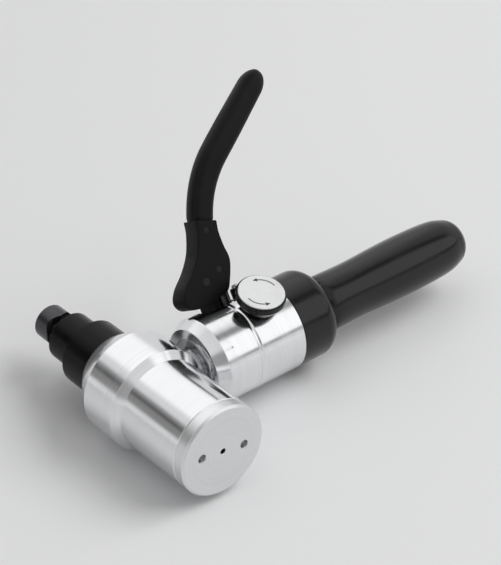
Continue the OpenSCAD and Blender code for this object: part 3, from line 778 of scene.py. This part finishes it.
OXIDE = Blacked("black_oxide", (0.002, 0.002, 0.0023), marked=(0.16, 0.16, 0.17),
                roughness=0.2, spread=0.08, metal=0.0, worn=0.4, specular=0.13)
TOOL_STEEL = Blacked("dark_tool_steel", (0.07, 0.07, 0.075), marked=(0.5, 0.5, 0.51),
                     roughness=0.26, spread=0.12, metal=0.9, worn=0.8)
COATED = Blacked("matt_black_coat", (0.0035, 0.0035, 0.0039), marked=(0.06, 0.06, 0.063),
                 roughness=0.45, spread=0.12, metal=0.0, worn=0.3, specular=0.14)
PIN_BLACK = Blacked("blacked_pin", (0.007, 0.007, 0.0075), marked=(0.16, 0.16, 0.165),
                    roughness=0.36, spread=0.12, metal=0.0, worn=0.8, specular=0.22)
LEVER_PLASTIC = Moulded("lever_plastic", (0.003, 0.003, 0.0034), marked=(0.014, 0.014, 0.015),
                        roughness=0.40, spread=0.12, specular=0.15)
GRIP_PLASTIC = Moulded("grip_plastic", (0.003, 0.003, 0.0034), marked=(0.010, 0.010, 0.011),
                       roughness=0.15, spread=0.07, specular=0.4, depth=3e-6)
KNOB_PLASTIC = Moulded("knob_plastic", (0.0045, 0.0046, 0.005), marked=(0.02, 0.02, 0.021),
                       roughness=0.24, spread=0.10, specular=0.25, depth=5e-6)
RUBBER = Moulded("seal_rubber", (0.010, 0.010, 0.010), marked=(0.04, 0.04, 0.04), roughness=0.55, spread=0.12)


def settled(name: str, mesh: bmesh.types.BMesh) -> bpy.types.Mesh:
    """Turns a mesh in the making into an object's data.

    Args:
        name: The data's name.
        mesh: The mesh, which is freed.

    Returns:
        The data.
    """
    data = bpy.data.meshes.new(name)
    mesh.to_mesh(data)
    mesh.free()
    return data


def in_scene(name: str, data: bpy.types.ID) -> bpy.types.Object:
    """Puts an object in the scene.

    Args:
        name: The object's name.
        data: Its mesh, lamp or camera.

    Returns:
        The object.
    """
    thing = bpy.data.objects.new(name, data)
    bpy.context.scene.collection.objects.link(thing)
    return thing


@dataclass
class SubAssembly:
    """A group of pieces that are dressed together.

    Args:
        bench: The shared groups and axes.
        nodes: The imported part's objects by name.
    """

    bench: Workbench
    nodes: dict[str, bpy.types.Object]

    def dress(self, finish: Finish, way: Way, *names: str) -> None:
        """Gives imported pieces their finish.

        Args:
            finish: The finish.
            way: The axis that its marks run round.
            names: The pieces' names.
        """
        material = finish.material(self.bench, way)
        for name in names:
            mesh = self.nodes[name].data
            mesh.materials.clear()
            mesh.materials.append(material)
            log.info("%s: %s", name, material.name)

    def piece(self, name: str, mesh: bmesh.types.BMesh, finish: Finish, way: Way, body: str,
              slot: str, stands_for: str, crease: float = 40.0) -> bpy.types.Object:
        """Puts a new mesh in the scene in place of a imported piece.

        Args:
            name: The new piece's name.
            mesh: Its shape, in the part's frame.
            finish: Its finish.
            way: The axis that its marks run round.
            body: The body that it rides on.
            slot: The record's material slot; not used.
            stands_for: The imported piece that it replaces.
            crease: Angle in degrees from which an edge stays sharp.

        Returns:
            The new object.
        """
        bmesh.ops.recalc_face_normals(mesh, faces=mesh.faces)
        data = settled(name, mesh)
        data.shade_smooth()
        data.set_sharp_from_angle(angle=math.radians(crease))
        data.materials.append(finish.material(self.bench, way))
        thing = in_scene(name, data)
        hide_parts(stands_for)
        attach(thing, body)
        log.info("%s: %d faces for %s", name, len(data.polygons), stands_for)
        return thing


def round_angles(count: int) -> list[float]:
    """Divides a full turn into equal steps, in radians."""
    return [FULL_TURN * step / count for step in range(count)]


def about_draw_axis(reach: float, along: float, turn: float) -> Vector:
    """Places a point by its distance from the draw axis, its place along it and its turn about it."""
    return Vector((reach * math.cos(turn), along, reach * math.sin(turn)))


def skin(rings: Sequence[Sequence[Vector]], closed_ends: bool = True) -> bmesh.types.BMesh:
    """Lofts a closed skin through rings of as many points each.

    Args:
        rings: The rings, in order. One that comes twice is made once.
        closed_ends: Whether the first and last ring get a face.

    Returns:
        The mesh.
    """
    mesh = bmesh.new()
    made = {}
    rows = []
    for ring in rings:
        if id(ring) not in made:
            made[id(ring)] = [mesh.verts.new(point) for point in ring]
        rows.append(made[id(ring)])
    count = len(rows[0])
    for low, high in zip(rows, rows[1:]):
        for step in range(count):
            after = (step + 1) % count
            mesh.faces.new((low[step], low[after], high[after], high[step]))
    if closed_ends:
        mesh.faces.new(rows[0])
        mesh.faces.new(rows[-1])
    return mesh


def through(points: Sequence[tuple[float, float]], steps: int) -> list[Vector]:
    """Draws a smooth curve through a few points.

    Args:
        points: The points, in order.
        steps: Stretches between one point and the next.

    Returns:
        The curve's points.
    """
    fixed = [Vector(point) for point in points]
    padded = [fixed[0], *fixed, fixed[-1]]
    drawn = []
    for before, start, end, after in zip(padded, padded[1:], padded[2:], padded[3:]):
        slope = end - before
        bow = 2.0 * before - 5.0 * start + 4.0 * end - after
        twist = 3.0 * start - before - 3.0 * end + after
        for step in range(steps):
            t = step / steps
            drawn.append(0.5 * (2.0 * start + slope * t + bow * t * t + twist * t * t * t))
    return [*drawn, fixed[-1]]


def welded(thing: bpy.types.Object) -> bmesh.types.BMesh:
    """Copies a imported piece's mesh as one skin with flat faces joined.

    Args:
        thing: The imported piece.

    Returns:
        The copy.
    """
    mesh = bmesh.new()
    mesh.from_mesh(thing.data)
    bmesh.ops.remove_doubles(mesh, verts=mesh.verts, dist=WELD_WITHIN)
    bmesh.ops.dissolve_limit(mesh, angle_limit=FLAT_WITHIN, verts=mesh.verts, edges=mesh.edges)
    return mesh


@dataclass
class PullHead(SubAssembly):
    """The pull cylinder with its cap, spacer, die and return spring.

    Args:
        wire: Thickness of the spring's wire.
        turns: Turns of the spring.
        turn_steps: Sections to one turn.
        wire_sides: Points round the wire.
    """

    wire: float = 3.0 * MM
    turns: float = 4.5
    turn_steps: int = 40
    wire_sides: int = 16

    def spring(self) -> bmesh.types.BMesh:
        """Winds the return spring between the cap and the piston.

        Returns:
            The spring's mesh.
        """
        low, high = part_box("return_spring")
        half = self.wire / 2.0
        radius = (high.x - low.x) / 2.0 - half
        sections = round(self.turns * self.turn_steps)
        rings = []
        for section in range(sections + 1):
            turn = FULL_TURN * section / self.turn_steps
            middle = low.y + half + (high.y - low.y - self.wire) * section / sections
            rings.append([
                about_draw_axis(radius + half * math.cos(side), middle + half * math.sin(side), turn)
                for side in round_angles(self.wire_sides)])
        return skin(rings)

    def load_spring(self, spring: bpy.types.Object) -> None:
        """Gives the spring a mesh of its own.

        Args:
            spring: The spring.
        """
        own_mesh(spring)

    def build(self) -> None:
        """Dresses the head and winds its spring."""
        self.dress(BRIGHT, Way.DRAW, "cylinder_body")
        self.dress(SATIN, Way.DRAW, "cylinder_cap")
        self.dress(OXIDE, Way.DRAW, "spacer_sleeve", "die")
        self.dress(RUBBER, Way.DRAW, "cap_seal", "rod_seal", "piston_seal")
        self.dress(BRONZE, Way.DRAW, "rod_bush")
        self.load_spring(self.piece("coiled_spring", self.spring(), WIRE, Way.DRAW, "head", "spring_steel",
                                    "return_spring"))


@dataclass
class DrawRam(SubAssembly):
    """The piston with its threaded stud and the punch.

    Args:
        thread_pitch: Distance from one thread to the next.
        thread_depth: Depth of the thread.
        crest: Share of the pitch that the thread's crest and its root take each.
        thread_back: How far behind the die's face the thread is cut.
        chamfer_past: How much deeper than the thread the end is chamfered.
        round_steps: Points round the stud.
        pitch_steps: Rows to one pitch.
    """

    thread_pitch: float = 1.4 * MM
    thread_depth: float = 0.75 * MM
    crest: float = 0.14
    thread_back: float = 15.0 * MM
    chamfer_past: float = 0.3 * MM
    round_steps: int = 48
    pitch_steps: int = 8

    def thread_height(self, share: float) -> float:
        """Gives the thread's height over its root, from 0 to 1.

        Args:
            share: The place in one pitch, from 0 to 1.

        Returns:
            The height.
        """
        flank = 0.5 - self.crest
        off = abs(share - 0.5) - self.crest / 2.0
        return 1.0 - min(1.0, max(0.0, off / flank))

    def stud(self) -> bmesh.types.BMesh:
        """Builds the stud with its thread and a chamfered end.

        Returns:
            The stud's mesh.
        """
        low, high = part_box("draw_stud")
        radius = (high.x - low.x) / 2.0
        chamfer = self.thread_depth + self.chamfer_past
        threaded = high.y + self.thread_back
        rows = math.ceil(threaded / self.thread_pitch * self.pitch_steps)
        places = [low.y, *(-self.thread_back + threaded * row / rows for row in range(rows + 1))]
        rings = []
        for along in places:
            tip = radius - chamfer + (high.y - along)
            ring = []
            for step, turn in enumerate(round_angles(self.round_steps)):
                share = (along / self.thread_pitch - step / self.round_steps) % 1.0
                cut = self.thread_depth * (1.0 - self.thread_height(share))
                if along <= -self.thread_back:
                    cut = 0.0
                ring.append(about_draw_axis(min(radius - cut, tip), along, turn))
            rings.append(ring)
        return skin(rings)

    def build(self) -> None:
        """Dresses the piston and punch and builds the stud."""
        self.dress(GROUND, Way.DRAW, "piston")
        self.dress(TOOL_STEEL, Way.DRAW, "punch")
        self.piece("threaded_stud", self.stud(), TOOL_STEEL, Way.DRAW, "ram", "tool_steel", "draw_stud")


@dataclass
class SwivelPump(SubAssembly):
    """The pump body, its swivel, its valves and the relief valve beside the lever."""

    def build(self) -> None:
        """Dresses the pump."""
        self.dress(BRIGHT, Way.PUMP, "pump_body")
        self.dress(GROUND, Way.PUMP, "swivel_nipple", "swivel_nut", "nipple_washer")
        self.dress(GROUND, Way.PUMP, "outlet_ball", "inlet_ball", "release_ball")
        self.dress(BRONZE, Way.PUMP, "outlet_retainer", "inlet_seat", "suction_strainer")
        self.dress(WIRE, Way.PUMP, "outlet_spring", "inlet_spring")
        self.dress(RUBBER, Way.PUMP, "swivel_seals", "plunger_seal", "spindle_seal")
        self.dress(GROUND, Way.PLUNGER, "relief_screw")
        self.dress(TOOL_STEEL, Way.PLUNGER, "plunger")
        self.dress(COATED, Way.PLUNGER, "pivot_lug", "plunger_gland", "relief_sleeve")


@dataclass
class PumpLever(SubAssembly):
    """The raised lever: a coated yoke with a moulded handle.

    Args:
        start: Where the handle leaves the yoke, from the pivot along the pump and outwards.
        leaving: Angle at which it leaves the yoke, in degrees.
        ending: Angle of its straight end, in degrees.
        bend: Length that it bends over.
        length: Length of the handle.
        width: Width of its section in the lever's plane.
        thickness: Thickness of its section.
        squareness: Power that squares its oval section off.
        share: Mean share of the full section.
        swell: How much the section swells for the palm.
        end_round: Length of its rounded end.
        end_turn: How far round that end the sections go, in degrees.
        end_steps: Sections over that end.
        lip: Length of the rounded edge beside the yoke.
        lip_in: How far that edge draws in.
        parting: Height of the mould's parting line.
        sides: Points round the section.
        rows: Sections along the handle.
        yoke_round: Rounding of the yoke's outer edges.
        yoke_steps: Faces across that rounding.
        yoke_crease: Angle in degrees from which an edge of the yoke stays sharp.
        rim_angle: Angle in degrees from which an edge is rounded.
        cheek_within: How near a cheek's face an edge has to lie to be rounded.
        pin_clear: Distance from a pin within which an edge stays as it is.
    """

    start: tuple[float, float] = (14.9 * MM, 34.6 * MM)
    leaving: float = 70.0
    ending: float = 35.0
    bend: float = 46.0 * MM
    length: float = 108.0 * MM
    width: float = 16.9 * MM
    thickness: float = 14.9 * MM
    squareness: float = 0.72
    share: float = 0.97
    swell: float = 0.04
    end_round: float = 13.0 * MM
    end_turn: float = 88.0
    end_steps: int = 16
    lip: float = 2.0 * MM
    lip_in: float = 0.07
    parting: float = 0.12 * MM
    sides: int = 72
    rows: int = 90
    yoke_round: float = 1.3 * MM
    yoke_steps: int = 4
    yoke_crease: float = 32.0
    rim_angle: float = 30.0
    cheek_within: float = 0.02 * MM
    pin_clear: float = 5.0 * MM

    def angle(self, along: float) -> float:
        """Gives the spine's angle at a distance from the yoke, in radians."""
        share = min(1.0, along / self.bend)
        return math.radians(self.leaving + (self.ending - self.leaving) * share)

    def stations(self) -> list[tuple[float, float]]:
        """Places the sections along the handle.

        Returns:
            Each section's distance from the yoke and its share of the full section.
        """
        straight = self.length - self.end_round
        placed = [(straight * row / self.rows, 1.0) for row in range(self.rows)]
        for step in range(self.end_steps + 1):
            turn = math.radians(self.end_turn) * step / self.end_steps
            placed.append((straight + self.end_round * math.sin(turn), math.cos(turn)))
        shaped = []
        for along, closing in placed:
            edge = 1.0 - self.lip_in * (1.0 - math.sin(0.5 * math.pi * min(1.0, along / self.lip)))
            palm = self.share - self.swell * math.cos(FULL_TURN * along / self.length)
            shaped.append((along, palm * closing * edge))
        return shaped

    def section(self, share: float, ridge: float) -> list[tuple[float, float]]:
        """Draws one section of the handle, a squared oval with the mould's parting line.

        Args:
            share: Its share of the full section.
            ridge: Height of the parting line.

        Returns:
            Each point's place outwards and across.
        """
        points = []
        for side, turn in enumerate(round_angles(self.sides)):
            wide, thick = (math.copysign(abs(part) ** self.squareness, part)
                           for part in (math.cos(turn), math.sin(turn)))
            out = self.width / 2.0 * share * wide
            if side % (self.sides // 2) == 0:
                out += math.copysign(ridge, wide)
            points.append((out, self.thickness / 2.0 * share * thick))
        return points

    def handle(self) -> bmesh.types.BMesh:
        """Lofts the handle along its bent spine.

        Returns:
            The handle's mesh.
        """
        plane = self.bench.axes.lever_plane()
        place = Vector(self.start)
        rings = []
        done = 0.0
        for along, share in self.stations():
            middle = self.angle((done + along) / 2.0)
            place = place + (along - done) * Vector((math.cos(middle), math.sin(middle)))
            done = along
            turn = self.angle(along)
            back, outward = math.sin(turn), math.cos(turn)
            ridge = self.parting * min(1.0, max(0.0, self.length - self.end_round - along) / self.end_round)
            rings.append([plane @ Vector((place.x - out * back, across, place.y + out * outward))
                          for out, across in self.section(share, ridge)])
        return skin(rings)

    def yoke(self) -> bmesh.types.BMesh:
        """Rounds the outer edges of the yoke's cheeks.

        Returns:
            The yoke's mesh.
        """
        mesh = welded(self.nodes["lever_yoke"])
        to_plane = self.bench.axes.lever_plane().inverted()
        pins = [(to_plane @ ((low + high) / 2.0)).xz for low, high in
                (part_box(name) for name in ("pivot_pin", "link_pin", "handle_pin"))]
        reach = max(abs((to_plane @ vertex.co).y) for vertex in mesh.verts)
        sharp = math.radians(self.rim_angle)
        rim = []
        for edge in mesh.edges:
            ends = [to_plane @ vertex.co for vertex in edge.verts]
            on_cheek = all(abs(abs(end.y) - reach) < self.cheek_within for end in ends)
            clear = all((end.xz - pin).length > self.pin_clear for end in ends for pin in pins)
            if on_cheek and clear and edge.is_manifold and edge.calc_face_angle(0.0) > sharp:
                rim.append(edge)
        bmesh.ops.bevel(mesh, geom=rim, offset=self.yoke_round, offset_type="OFFSET",
                        segments=self.yoke_steps, profile=0.5, affect="EDGES", clamp_overlap=True)
        return mesh

    def build(self) -> None:
        """Builds and dresses the lever."""
        self.dress(PIN_BLACK, Way.LEVER, "pivot_pin", "link_pin", "handle_pin")
        self.piece("coated_yoke", self.yoke(), COATED, Way.LEVER, "lever", "lever_black", "lever_yoke",
                   crease=self.yoke_crease)
        self.piece("moulded_handle", self.handle(), LEVER_PLASTIC, Way.LEVER, "lever", "lever_plastic",
                   "lever_handle")


@dataclass
class ReleaseKnob(SubAssembly):
    """The release valve's knob and spindle."""

    def build(self) -> None:
        """Dresses the knob."""
        self.dress(KNOB_PLASTIC, Way.KNOB, "release_knob")
        self.dress(SILVER, Way.KNOB, "knob_disc")
        self.dress(GROUND, Way.KNOB, "release_spindle", "release_gland", "knob_screw")


@dataclass
class ReservoirHandle(SubAssembly):
    """The collar and grip that hold the oil.

    Args:
        shape: The grip's radius along it, as (share of the length, radius in mm).
        shape_steps: Rows between one of these and the next.
        neck: Radius of the neck inside the collar.
        neck_step: How far inside the collar the neck ends.
        neck_from: Where the neck starts, before the collar's end.
        bore: Radius of the bore for the oil bladder.
        end_wall: Thickness of the grip's end.
        plug_head: Radius and depth of the seat for the filler plug's head.
        plug_way: Radius of the hole for the filler plug.
        round_steps: Points round the grip.
        crease: Angle in degrees from which an edge of the grip stays sharp.
    """

    shape: tuple[tuple[float, float], ...] = (
        (0.0, 16.1), (0.028, 16.3), (0.055, 17.8), (0.1, 18.4), (0.28, 18.0),
        (0.6, 19.2), (0.85, 18.4), (0.95, 15.8), (0.985, 13.6), (1.0, 11.4),
    )
    shape_steps: int = 8
    neck: float = 17.3 * MM
    neck_step: float = 1.5 * MM
    neck_from: float = 9.0 * MM
    bore: float = 13.0 * MM
    end_wall: float = 14.0 * MM
    plug_head: tuple[float, float] = (8.55 * MM, 3.0 * MM)
    plug_way: float = 6.05 * MM
    round_steps: int = 128
    crease: float = 50.0

    def grip(self) -> bmesh.types.BMesh:
        """Turns the grip about the pump's axis.

        Returns:
            The grip's mesh.
        """
        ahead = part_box("reservoir_collar")[1].x
        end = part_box("handle_grip")[1].x
        begin, foot, inner = ahead - self.neck_from, ahead - self.neck_step, end - self.end_wall
        head, depth = self.plug_head
        outline = [(begin, self.bore), (begin, self.neck), (foot, self.neck)]
        curve = through(self.shape, self.shape_steps)
        outline += [(foot + point.x * (end - foot), point.y * MM) for point in curve]
        outline += [(end, head), (end - depth, head), (end - depth, self.plug_way)]
        outline += [(inner, self.plug_way), (inner, self.bore)]
        centre = self.bench.axes.pump_y
        rings = [[Vector((along, centre + radius * math.cos(turn), radius * math.sin(turn)))
                  for turn in round_angles(self.round_steps)] for along, radius in outline]
        return skin([*rings, rings[0]], closed_ends=False)

    def build(self) -> None:
        """Builds and dresses the handle."""
        self.dress(GRIP_PLASTIC, Way.PUMP, "reservoir_collar")
        self.piece("turned_grip", self.grip(), GRIP_PLASTIC, Way.PUMP, "pump", "grip_plastic", "handle_grip",
                   crease=self.crease)
        self.dress(KNOB_PLASTIC, Way.PUMP, "filler_plug")
        self.dress(RUBBER, Way.PUMP, "oil_bladder", "filler_seal")


@dataclass(frozen=True)
class Panel:
    """A patch of the studio's surround, as bright metal mirrors it.

    Args:
        towards: Direction of its middle from the part.
        wide: Half its width, as a share of its distance.
        high: Half its height, as a share of its distance.
        level: Its brightness.
        soft: How far its edges blur.
        least: Cosine of the widest angle from its middle at which it can show.
    """

    towards: tuple[float, float, float]
    wide: float
    high: float
    level: float
    soft: float
    least: float = 0.05

    def over(self, sheet: NodeSheet, ray: Socket, level: Socket | float) -> Socket:
        """Lays the panel over what is behind it.

        Args:
            sheet: The world's nodes.
            ray: The direction looked in.
            level: Brightness of what is behind.

        Returns:
            The brightness with the panel.
        """
        ahead = Vector(self.towards).normalized()
        side = UP.cross(ahead).normalized()
        near, across, up = (
            sheet.add("ShaderNodeVectorMath", {0: ray, 1: way}, operation="DOT_PRODUCT").outputs["Value"]
            for way in (ahead, side, ahead.cross(side)))
        front = sheet.math("MAXIMUM", near, self.least)
        mask = sheet.math("GREATER_THAN", near, self.least)
        for part, half in ((across, self.wide), (up, self.high)):
            off = sheet.math("ABSOLUTE", sheet.math("DIVIDE", part, front))
            mask = sheet.math("MULTIPLY", mask, sheet.ramp(off, half - self.soft, half + self.soft, 1.0, 0.0))
        return sheet.ramp(mask, 0.0, 1.0, level, self.level, smooth=False)


@dataclass(frozen=True)
class SoftBox:
    """A lamp that faces the part. Bright metal mirrors the panels in its stead.

    Args:
        name: The lamp's name.
        towards: Direction from the part.
        distance: Distance from the part.
        wide: Width of its face.
        high: Height of its face.
        glow: Brightness of its face.
    """

    name: str
    towards: tuple[float, float, float]
    distance: float
    wide: float
    high: float
    glow: float

    def hang(self, centre: Vector) -> None:
        """Hangs the lamp.

        Args:
            centre: The middle of the part.
        """
        towards = Vector(self.towards)
        lamp = bpy.data.lights.new(self.name, "AREA")
        lamp.shape = "RECTANGLE"
        lamp.size = self.wide
        lamp.size_y = self.high
        lamp.energy = self.glow * math.pi * self.wide * self.high
        thing = in_scene(self.name, lamp)
        thing.location = centre + towards.normalized() * self.distance
        thing.rotation_mode = "QUATERNION"
        thing.rotation_quaternion = (-towards).to_track_quat("-Z", "Y")
        thing.visible_glossy = False
        thing.visible_camera = False


@dataclass
class Studio:
    """A pale floor, soft boxes, a pale surround and the camera.

    Args:
        lens_at: Where the photograph was taken from, in the part's frame.
        lens_up: The top of the photograph, in the part's frame.
        sensor: Width of the camera's sensor, in mm.
        fill: Share of the picture that the part takes.
        aim_rounds: Rounds in which the camera's aim settles.
        floor_size: Half the floor's width.
        floor_cells: Faces along the floor.
        floor_colour: The floor's colour.
        floor_rough: How much the floor blurs.
        floor_specular: How strongly the floor mirrors.
        fade: Distances from the part over which the floor fades into the surround.
        surround: Brightness of the pale surround.
        ambient: Brightness of the soft light from all round.
        panels: The soft boxes and the darker patches of the surround, as bright metal mirrors them.
        boxes: The lamps.

    Attributes:
        centre: The middle of the part, found when the studio is built.
    """

    lens_at: tuple[float, float, float] = (-0.64396, -0.97171, 0.82477)
    lens_up: tuple[float, float, float] = (0.376, 0.439, 0.816)
    sensor: float = 36.0
    fill: float = 0.86
    aim_rounds: int = 4
    floor_size: float = 40.0
    floor_cells: int = 8
    floor_colour: Colour = (0.87, 0.873, 0.878)
    floor_rough: float = 0.45
    floor_specular: float = 0.3
    fade: tuple[float, float] = (1.6, 5.0)
    surround: float = 0.78
    ambient: float = 0.32
    panels: tuple[Panel, ...] = (
        Panel((0.53, -0.62, 0.50), wide=0.50, high=0.42, level=1.2, soft=0.04),
        Panel((0.18, 0.58, 0.79), wide=0.53, high=0.40, level=1.15, soft=0.12),
        Panel((0.53, -0.15, 0.835), wide=0.12, high=0.35, level=0.3, soft=0.07),
        Panel((-0.66, 0.63, 0.37), wide=0.50, high=0.22, level=0.26, soft=0.06),
        Panel((-0.655, 0.63, 0.44), wide=0.50, high=0.05, level=0.11, soft=0.04),
        Panel((0.50, -0.84, 0.19), wide=0.90, high=0.06, level=0.35, soft=0.03),
        Panel((-0.55, -0.75, 0.42), wide=0.50, high=0.25, level=0.36, soft=0.1),
    )
    boxes: tuple[SoftBox, ...] = (
        SoftBox("front_right_box", (0.53, -0.40, 0.73), distance=4.2, wide=3.6, high=2.7, glow=3.7),
        SoftBox("overhead_box", (-0.1, 0.2, 1.0), distance=5.0, wide=5.4, high=5.4, glow=0.38),
    )
    centre: Vector = field(init=False)

    def looked_at(self, sheet: NodeSheet) -> Socket:
        """Tells rays that show a surface from those that only light it.

        Args:
            sheet: The nodes to add to.

        Returns:
            One where a surface is looked at, straight on, in a mirror or through glass.
        """
        rays = sheet.add("ShaderNodeLightPath").outputs
        plain = sheet.math("MAXIMUM", rays["Is Camera Ray"], rays["Is Glossy Ray"])
        return sheet.math("MAXIMUM", plain, rays["Is Transmission Ray"])

    def floor(self, level: float) -> None:
        """Lays the floor under the part.

        Args:
            level: The floor's height.
        """
        material = bpy.data.materials.new("pale_floor")
        material.use_nodes = True
        nodes = material.node_tree.nodes
        shader = nodes["Principled BSDF"]
        shader.inputs["Base Color"].default_value = (*self.floor_colour, 1.0)
        shader.inputs["Roughness"].default_value = self.floor_rough
        shader.inputs["Specular IOR Level"].default_value = self.floor_specular
        sheet = NodeSheet(material.node_tree)
        spot = sheet.add("ShaderNodeNewGeometry").outputs["Position"]
        away = sheet.add("ShaderNodeVectorMath", {0: spot, 1: self.centre}, operation="DISTANCE")
        faded = sheet.ramp(away.outputs["Value"], *self.fade)
        shown = sheet.math("MULTIPLY", faded, self.looked_at(sheet))
        haze = sheet.add("ShaderNodeEmission", {"Color": WHITE, "Strength": self.surround}).outputs[0]
        mixed = sheet.add("ShaderNodeMixShader", {"Fac": shown, 1: shader.outputs[0], 2: haze}).outputs[0]
        sheet.put(mixed, nodes["Material Output"].inputs["Surface"])
        mesh = bmesh.new()
        bmesh.ops.create_grid(mesh, x_segments=self.floor_cells, y_segments=self.floor_cells,
                              size=self.floor_size)
        floor = in_scene("floor", settled("floor", mesh))
        floor.data.materials.append(material)
        floor.location.z = level
        floor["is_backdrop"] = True

    def surroundings(self) -> None:
        """Makes the pale surround, with the soft boxes and the darker patches that bright metal mirrors."""
        world = bpy.data.worlds.new("studio")
        world.use_nodes = True
        bpy.context.scene.world = world
        nodes = world.node_tree.nodes
        soft = nodes["Background"]
        soft.inputs["Color"].default_value = WHITE
        soft.inputs["Strength"].default_value = self.ambient
        sheet = NodeSheet(world.node_tree)
        towards = sheet.add("ShaderNodeTexCoord").outputs["Generated"]
        level = self.surround
        for panel in self.panels:
            level = panel.over(sheet, towards, level)
        seen = sheet.add("ShaderNodeBackground", {"Color": WHITE, "Strength": level}).outputs[0]
        mixed = sheet.add("ShaderNodeMixShader", {"Fac": self.looked_at(sheet), 1: soft.outputs[0], 2: seen})
        sheet.put(mixed.outputs[0], nodes["World Output"].inputs["Surface"])

    def camera(self) -> None:
        """Sets the camera where the photograph was taken from, and fits the part in its frame."""
        eye = Vector(self.lens_at)
        rays = [vertex.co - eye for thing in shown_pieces() for vertex in thing.data.vertices]
        aim = (self.centre - eye).normalized()
        for _ in range(self.aim_rounds):
            side = aim.cross(Vector(self.lens_up)).normalized()
            top = side.cross(aim)
            across = [ray.dot(side) / ray.dot(aim) for ray in rays]
            upward = [ray.dot(top) / ray.dot(aim) for ray in rays]
            left, right, low, high = min(across), max(across), min(upward), max(upward)
            aim = (aim + side * (left + right) / 2.0 + top * (low + high) / 2.0).normalized()
        reach = max((right - left) * PHOTO_HEIGHT / PHOTO_WIDTH, high - low) / self.fill
        lens = bpy.data.cameras.new("camera")
        lens.sensor_width = self.sensor
        lens.lens = self.sensor / reach
        thing = in_scene("camera", lens)
        thing.matrix_world = Matrix.Translation(eye) @ Matrix((side, top, -aim)).transposed().to_4x4()
        bpy.context.scene.camera = thing

    def build(self) -> None:
        """Builds the studio round the part."""
        low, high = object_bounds()
        self.centre = (low + high) / 2.0
        bpy.context.scene.view_settings.view_transform = "Standard"
        self.camera()
        self.floor(low.z)
        self.surroundings()
        for box in self.boxes:
            box.hang(self.centre)
        log.info("studio: floor at %.4f m", low.z)


def main() -> None:
    """Dresses the part and sets up the studio."""
    logging.basicConfig(level=logging.INFO, format="%(name)s: %(message)s")
    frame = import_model()
    bench = Workbench(Effects(), Axes(frame["joints"]))
    for assembly in (PullHead, DrawRam, SwivelPump, PumpLever, ReleaseKnob, ReservoirHandle):
        assembly(bench, frame["nodes"]).build()
    Studio().build()


if __name__ == "__main__":
    main()
